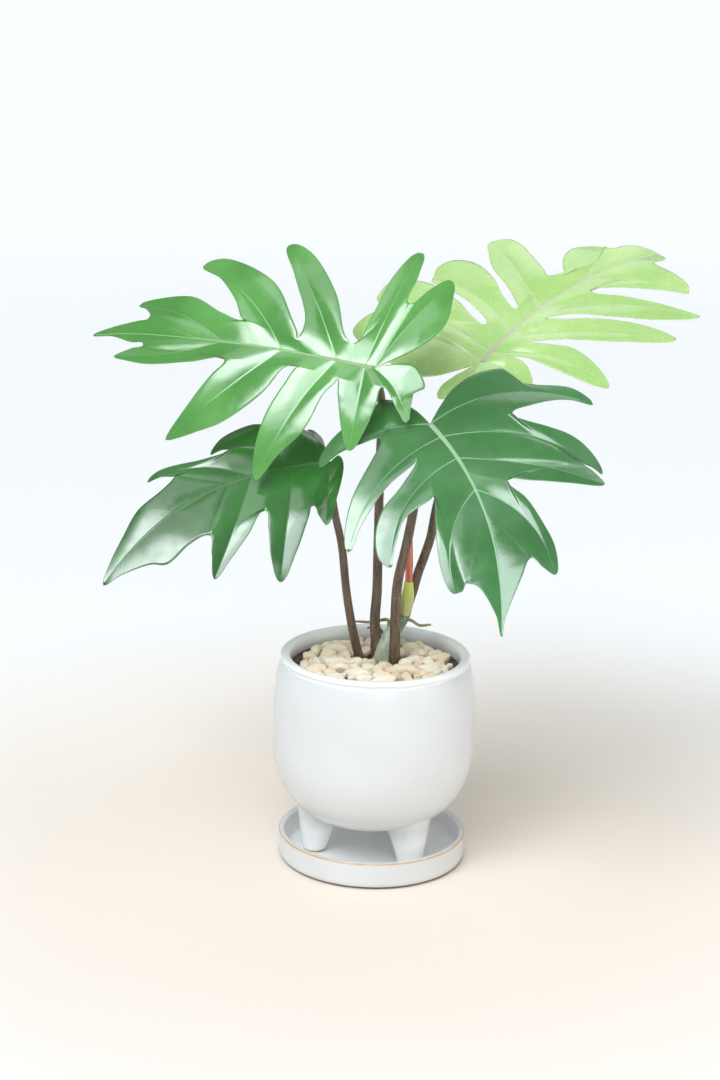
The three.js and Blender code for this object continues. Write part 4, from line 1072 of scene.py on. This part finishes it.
def add_sky():
    """A dim pale sky, hazy at the horizon, with one bright window far away. A direction's place on
    the window is its share along the window's own axes over its share along the way there."""
    world = bpy.data.worlds.new("daylight")
    sky = Nodes(world)
    background = sky.tree.nodes["Background"]
    heading, height = math.radians(WINDOW_HEADING), math.radians(WINDOW_HEIGHT)
    away = np.array([math.cos(heading), math.sin(heading), 0])
    towards = math.cos(height) * away + math.sin(height) * np.array([0, 0, 1])
    side = np.array([-away[1], away[0], 0])
    direction = sky.make("TexCoord", "Generated", {})

    def share(axis):
        return sky.make("VectorMath", "Value", {0: direction, 1: tuple(axis)}, operation="DOT_PRODUCT")

    ahead = share(towards)
    lit = sky.ramp(ahead, 0.1, 0.3)
    for axis, half in ((side, WINDOW_HALF_WIDTH), (np.cross(towards, side), WINDOW_HALF_HEIGHT)):
        offset = sky.maths("ABSOLUTE", sky.maths("DIVIDE", share(axis), ahead))
        lit = sky.maths("MULTIPLY", lit, sky.ramp(offset, half - WINDOW_BLUR, half + WINDOW_BLUR, 1.0, 0.0))
    window = sky.ramp(lit, 0.0, 1.0, SKY_DIM, SKY_BRIGHT, "LINEAR")
    haze = sky.ramp(share((0, 0, 1)), 0.02, 0.16, SKY_HAZE, SKY_DIM)
    sky.feed(background.inputs["Color"], (0.9, 0.96, 1.0))
    sky.feed(background.inputs["Strength"], sky.maths("MAXIMUM", window, haze))
    bpy.context.scene.world = world


def add_light():
    """Bright even daylight: the sky, and square lights that face their aim and aren't seen."""
    add_sky()
    for name, (spot, aim, size, power, colour) in LIGHTS.items():
        data = bpy.data.lights.new(name, "AREA")
        data.shape, data.size, data.energy, data.color = "SQUARE", size, power, colour
        forward = unit(np.array(aim, float) - spot)
        side = unit(np.cross(forward, [0, 0, 1.0]))
        stand(name, data, spot, [side, np.cross(side, forward), -forward]).visible_camera = False
    bpy.context.scene.view_settings.view_transform = "Standard"


# The object

add_camera()
add_floor()
add_light()

glaze = glaze_material()
piece("glazed_saucer", saucer_sheet(), [glaze], "saucer")
piece("glazed_pot", pot_sheet(), [glaze], "pot")
piece("potting_soil", soil_sheet(), [soil_material()], "soil")
piece("pebble_dressing", pebbles_sheet(), [stone_material()], "pebbles")

# Skins: dark, light, tint, the distances over which it grows, specks, their strength, roughness
SKINS = {
    "stem": (
        (0.3, 0.35, 0.25), (0.52, 0.56, 0.48), (0.09, 0.17, 0.06), (45, 54), (0.78, 0.8, 0.74), 0.8, 0.75,
    ),
    "root": ((0.22, 0.2, 0.08), (0.36, 0.3, 0.14), (0.3, 0.3, 0.12), (60, 200), (0.6, 0.55, 0.4), 0.5, 0.7),
    "stalk": (
        (0.08, 0.05, 0.032), (0.15, 0.105, 0.06), (0.11, 0.1, 0.045), (90, 230), (0.4, 0.33, 0.24), 0.6, 0.5,
    ),
    "sheath": (
        (0.42, 0.45, 0.12), (0.56, 0.56, 0.24), (0.62, 0.66, 0.1), (8, 22), (0.7, 0.66, 0.4), 0.5, 0.45,
    ),
    "spear": ((0.5, 0.1, 0.06), (0.64, 0.2, 0.12), (0.62, 0.26, 0.16), (30, 80), (0.8, 0.45, 0.3), 0.3, 0.35),
}
skins = {part: skin_material(part + "_skin", *tones) for part, tones in SKINS.items()}
piece("stem_with_roots", stem_sheet(), [skins["stem"], skins["root"]], "stem")
for part, shape in LEAF_STALKS.items():
    stalk = stalk_sheet(shape, LEAVES[part])
    piece("stalk_" + part, stalk, [skins["stalk"]], "petiole_" + part)
piece("leaf_sheath", sheath_sheet(), [skins["sheath"]], "sheath")
piece("rolled_leaf", spear_sheet(), [skins["spear"]], "new_leaf")

# Colours and gloss of each leaf, the rise and droop of its lobes, its ribs' radii, and how blunt
# its lobes' tips and cuts are, as radii
LEAF_LOOKS = {
    "upper_left": dict(
        slot="leaf_green", deep=(0.055, 0.235, 0.03), fresh=(0.1, 0.33, 0.06), vein=(0.22, 0.45, 0.17),
        under=(0.2, 0.4, 0.16), rib=(0.2, 0.42, 0.15), side_rib=(0.1, 0.3, 0.07), root=(0.26, 0.32, 0.14),
        gloss=0.16, bloom_and_sheen=0.02, rise=2.6, slope=0.13, droop=5, rib_sizes=(1.3, 0.35), rib_fade=1,
        blunt_left=(1.8, 2.2, 1, 0.5, 0.4, 0.4), blunt_right=(3, 3, 3, 2, 1, 0.4), cut_radius=2.2,
    ),
    "front_right": dict(
        slot="leaf_blue_green", deep=(0.026, 0.14, 0.026), fresh=(0.05, 0.21, 0.048), vein=(0.2, 0.4, 0.22),
        under=(0.2, 0.34, 0.2), rib=(0.26, 0.46, 0.28), side_rib=(0.11, 0.28, 0.12), root=(0.3, 0.45, 0.26),
        gloss=0.19, bloom_and_sheen=0.07, rise=2.2, slope=0.11, droop=5, rib_sizes=(1.8, 0.3), rib_fade=1.6,
        blunt_left=(1.2, 0.8, 0.8, 1.6, 0.5), blunt_right=(1, 1.4, 1, 3.5, 0.5), cut_radius=2,
    ),
    "lower_left": dict(
        slot="leaf_dark", deep=(0.013, 0.1, 0.009), fresh=(0.028, 0.17, 0.02), vein=(0.06, 0.19, 0.045),
        under=(0.13, 0.26, 0.1), rib=(0.05, 0.17, 0.035), side_rib=(0.035, 0.14, 0.025),
        root=(0.06, 0.16, 0.04), gloss=0.19, bloom_and_sheen=0.01, rise=2.2, slope=0.1, droop=8,
        rib_sizes=(1.2, 0.3), rib_fade=1, blunt_left=(2.5, 2, 1.2, 1), blunt_right=(2, 1, 0.8, 1),
        cut_radius=2.2,
    ),
    # the young leaf's light lime is made lighter still: painted light standing in for light shining through
    # its thin blade
    "back_right": dict(
        slot="leaf_young", deep=(0.34, 0.57, 0.15), fresh=(0.45, 0.65, 0.23), vein=(0.56, 0.7, 0.4),
        under=(0.6, 0.76, 0.46), rib=(0.52, 0.54, 0.42), side_rib=(0.42, 0.58, 0.26), root=(0.45, 0.37, 0.33),
        gloss=0.24, bloom_and_sheen=0.08, rise=2.8, slope=0.14, droop=3.5, rib_sizes=(1.5, 0.35), rib_fade=1,
        blunt_left=(3, 1.5, 3.5, 6, 3, 1), blunt_right=(3, 3, 0.8, 0.8, 0.6, 0.8, 1), cut_radius=2.2,
    ),
}
for part, look in LEAF_LOOKS.items():
    leaf, slot = {**LEAVES[part], **look}, look["slot"]
    tones = [look[key] for key in ("deep", "fresh", "vein", "under", "gloss", "bloom_and_sheen")]
    skin = leaf_material("skin_" + slot, *tones)
    ribs = rib_material("ribs_" + slot, look["rib"], look["root"])
    side_ribs = rib_material("side_ribs_" + slot, look["side_rib"], look["rib"])
    piece("leaf_" + part, blade_sheet(leaf), [skin, ribs, side_ribs], "blade_" + part)
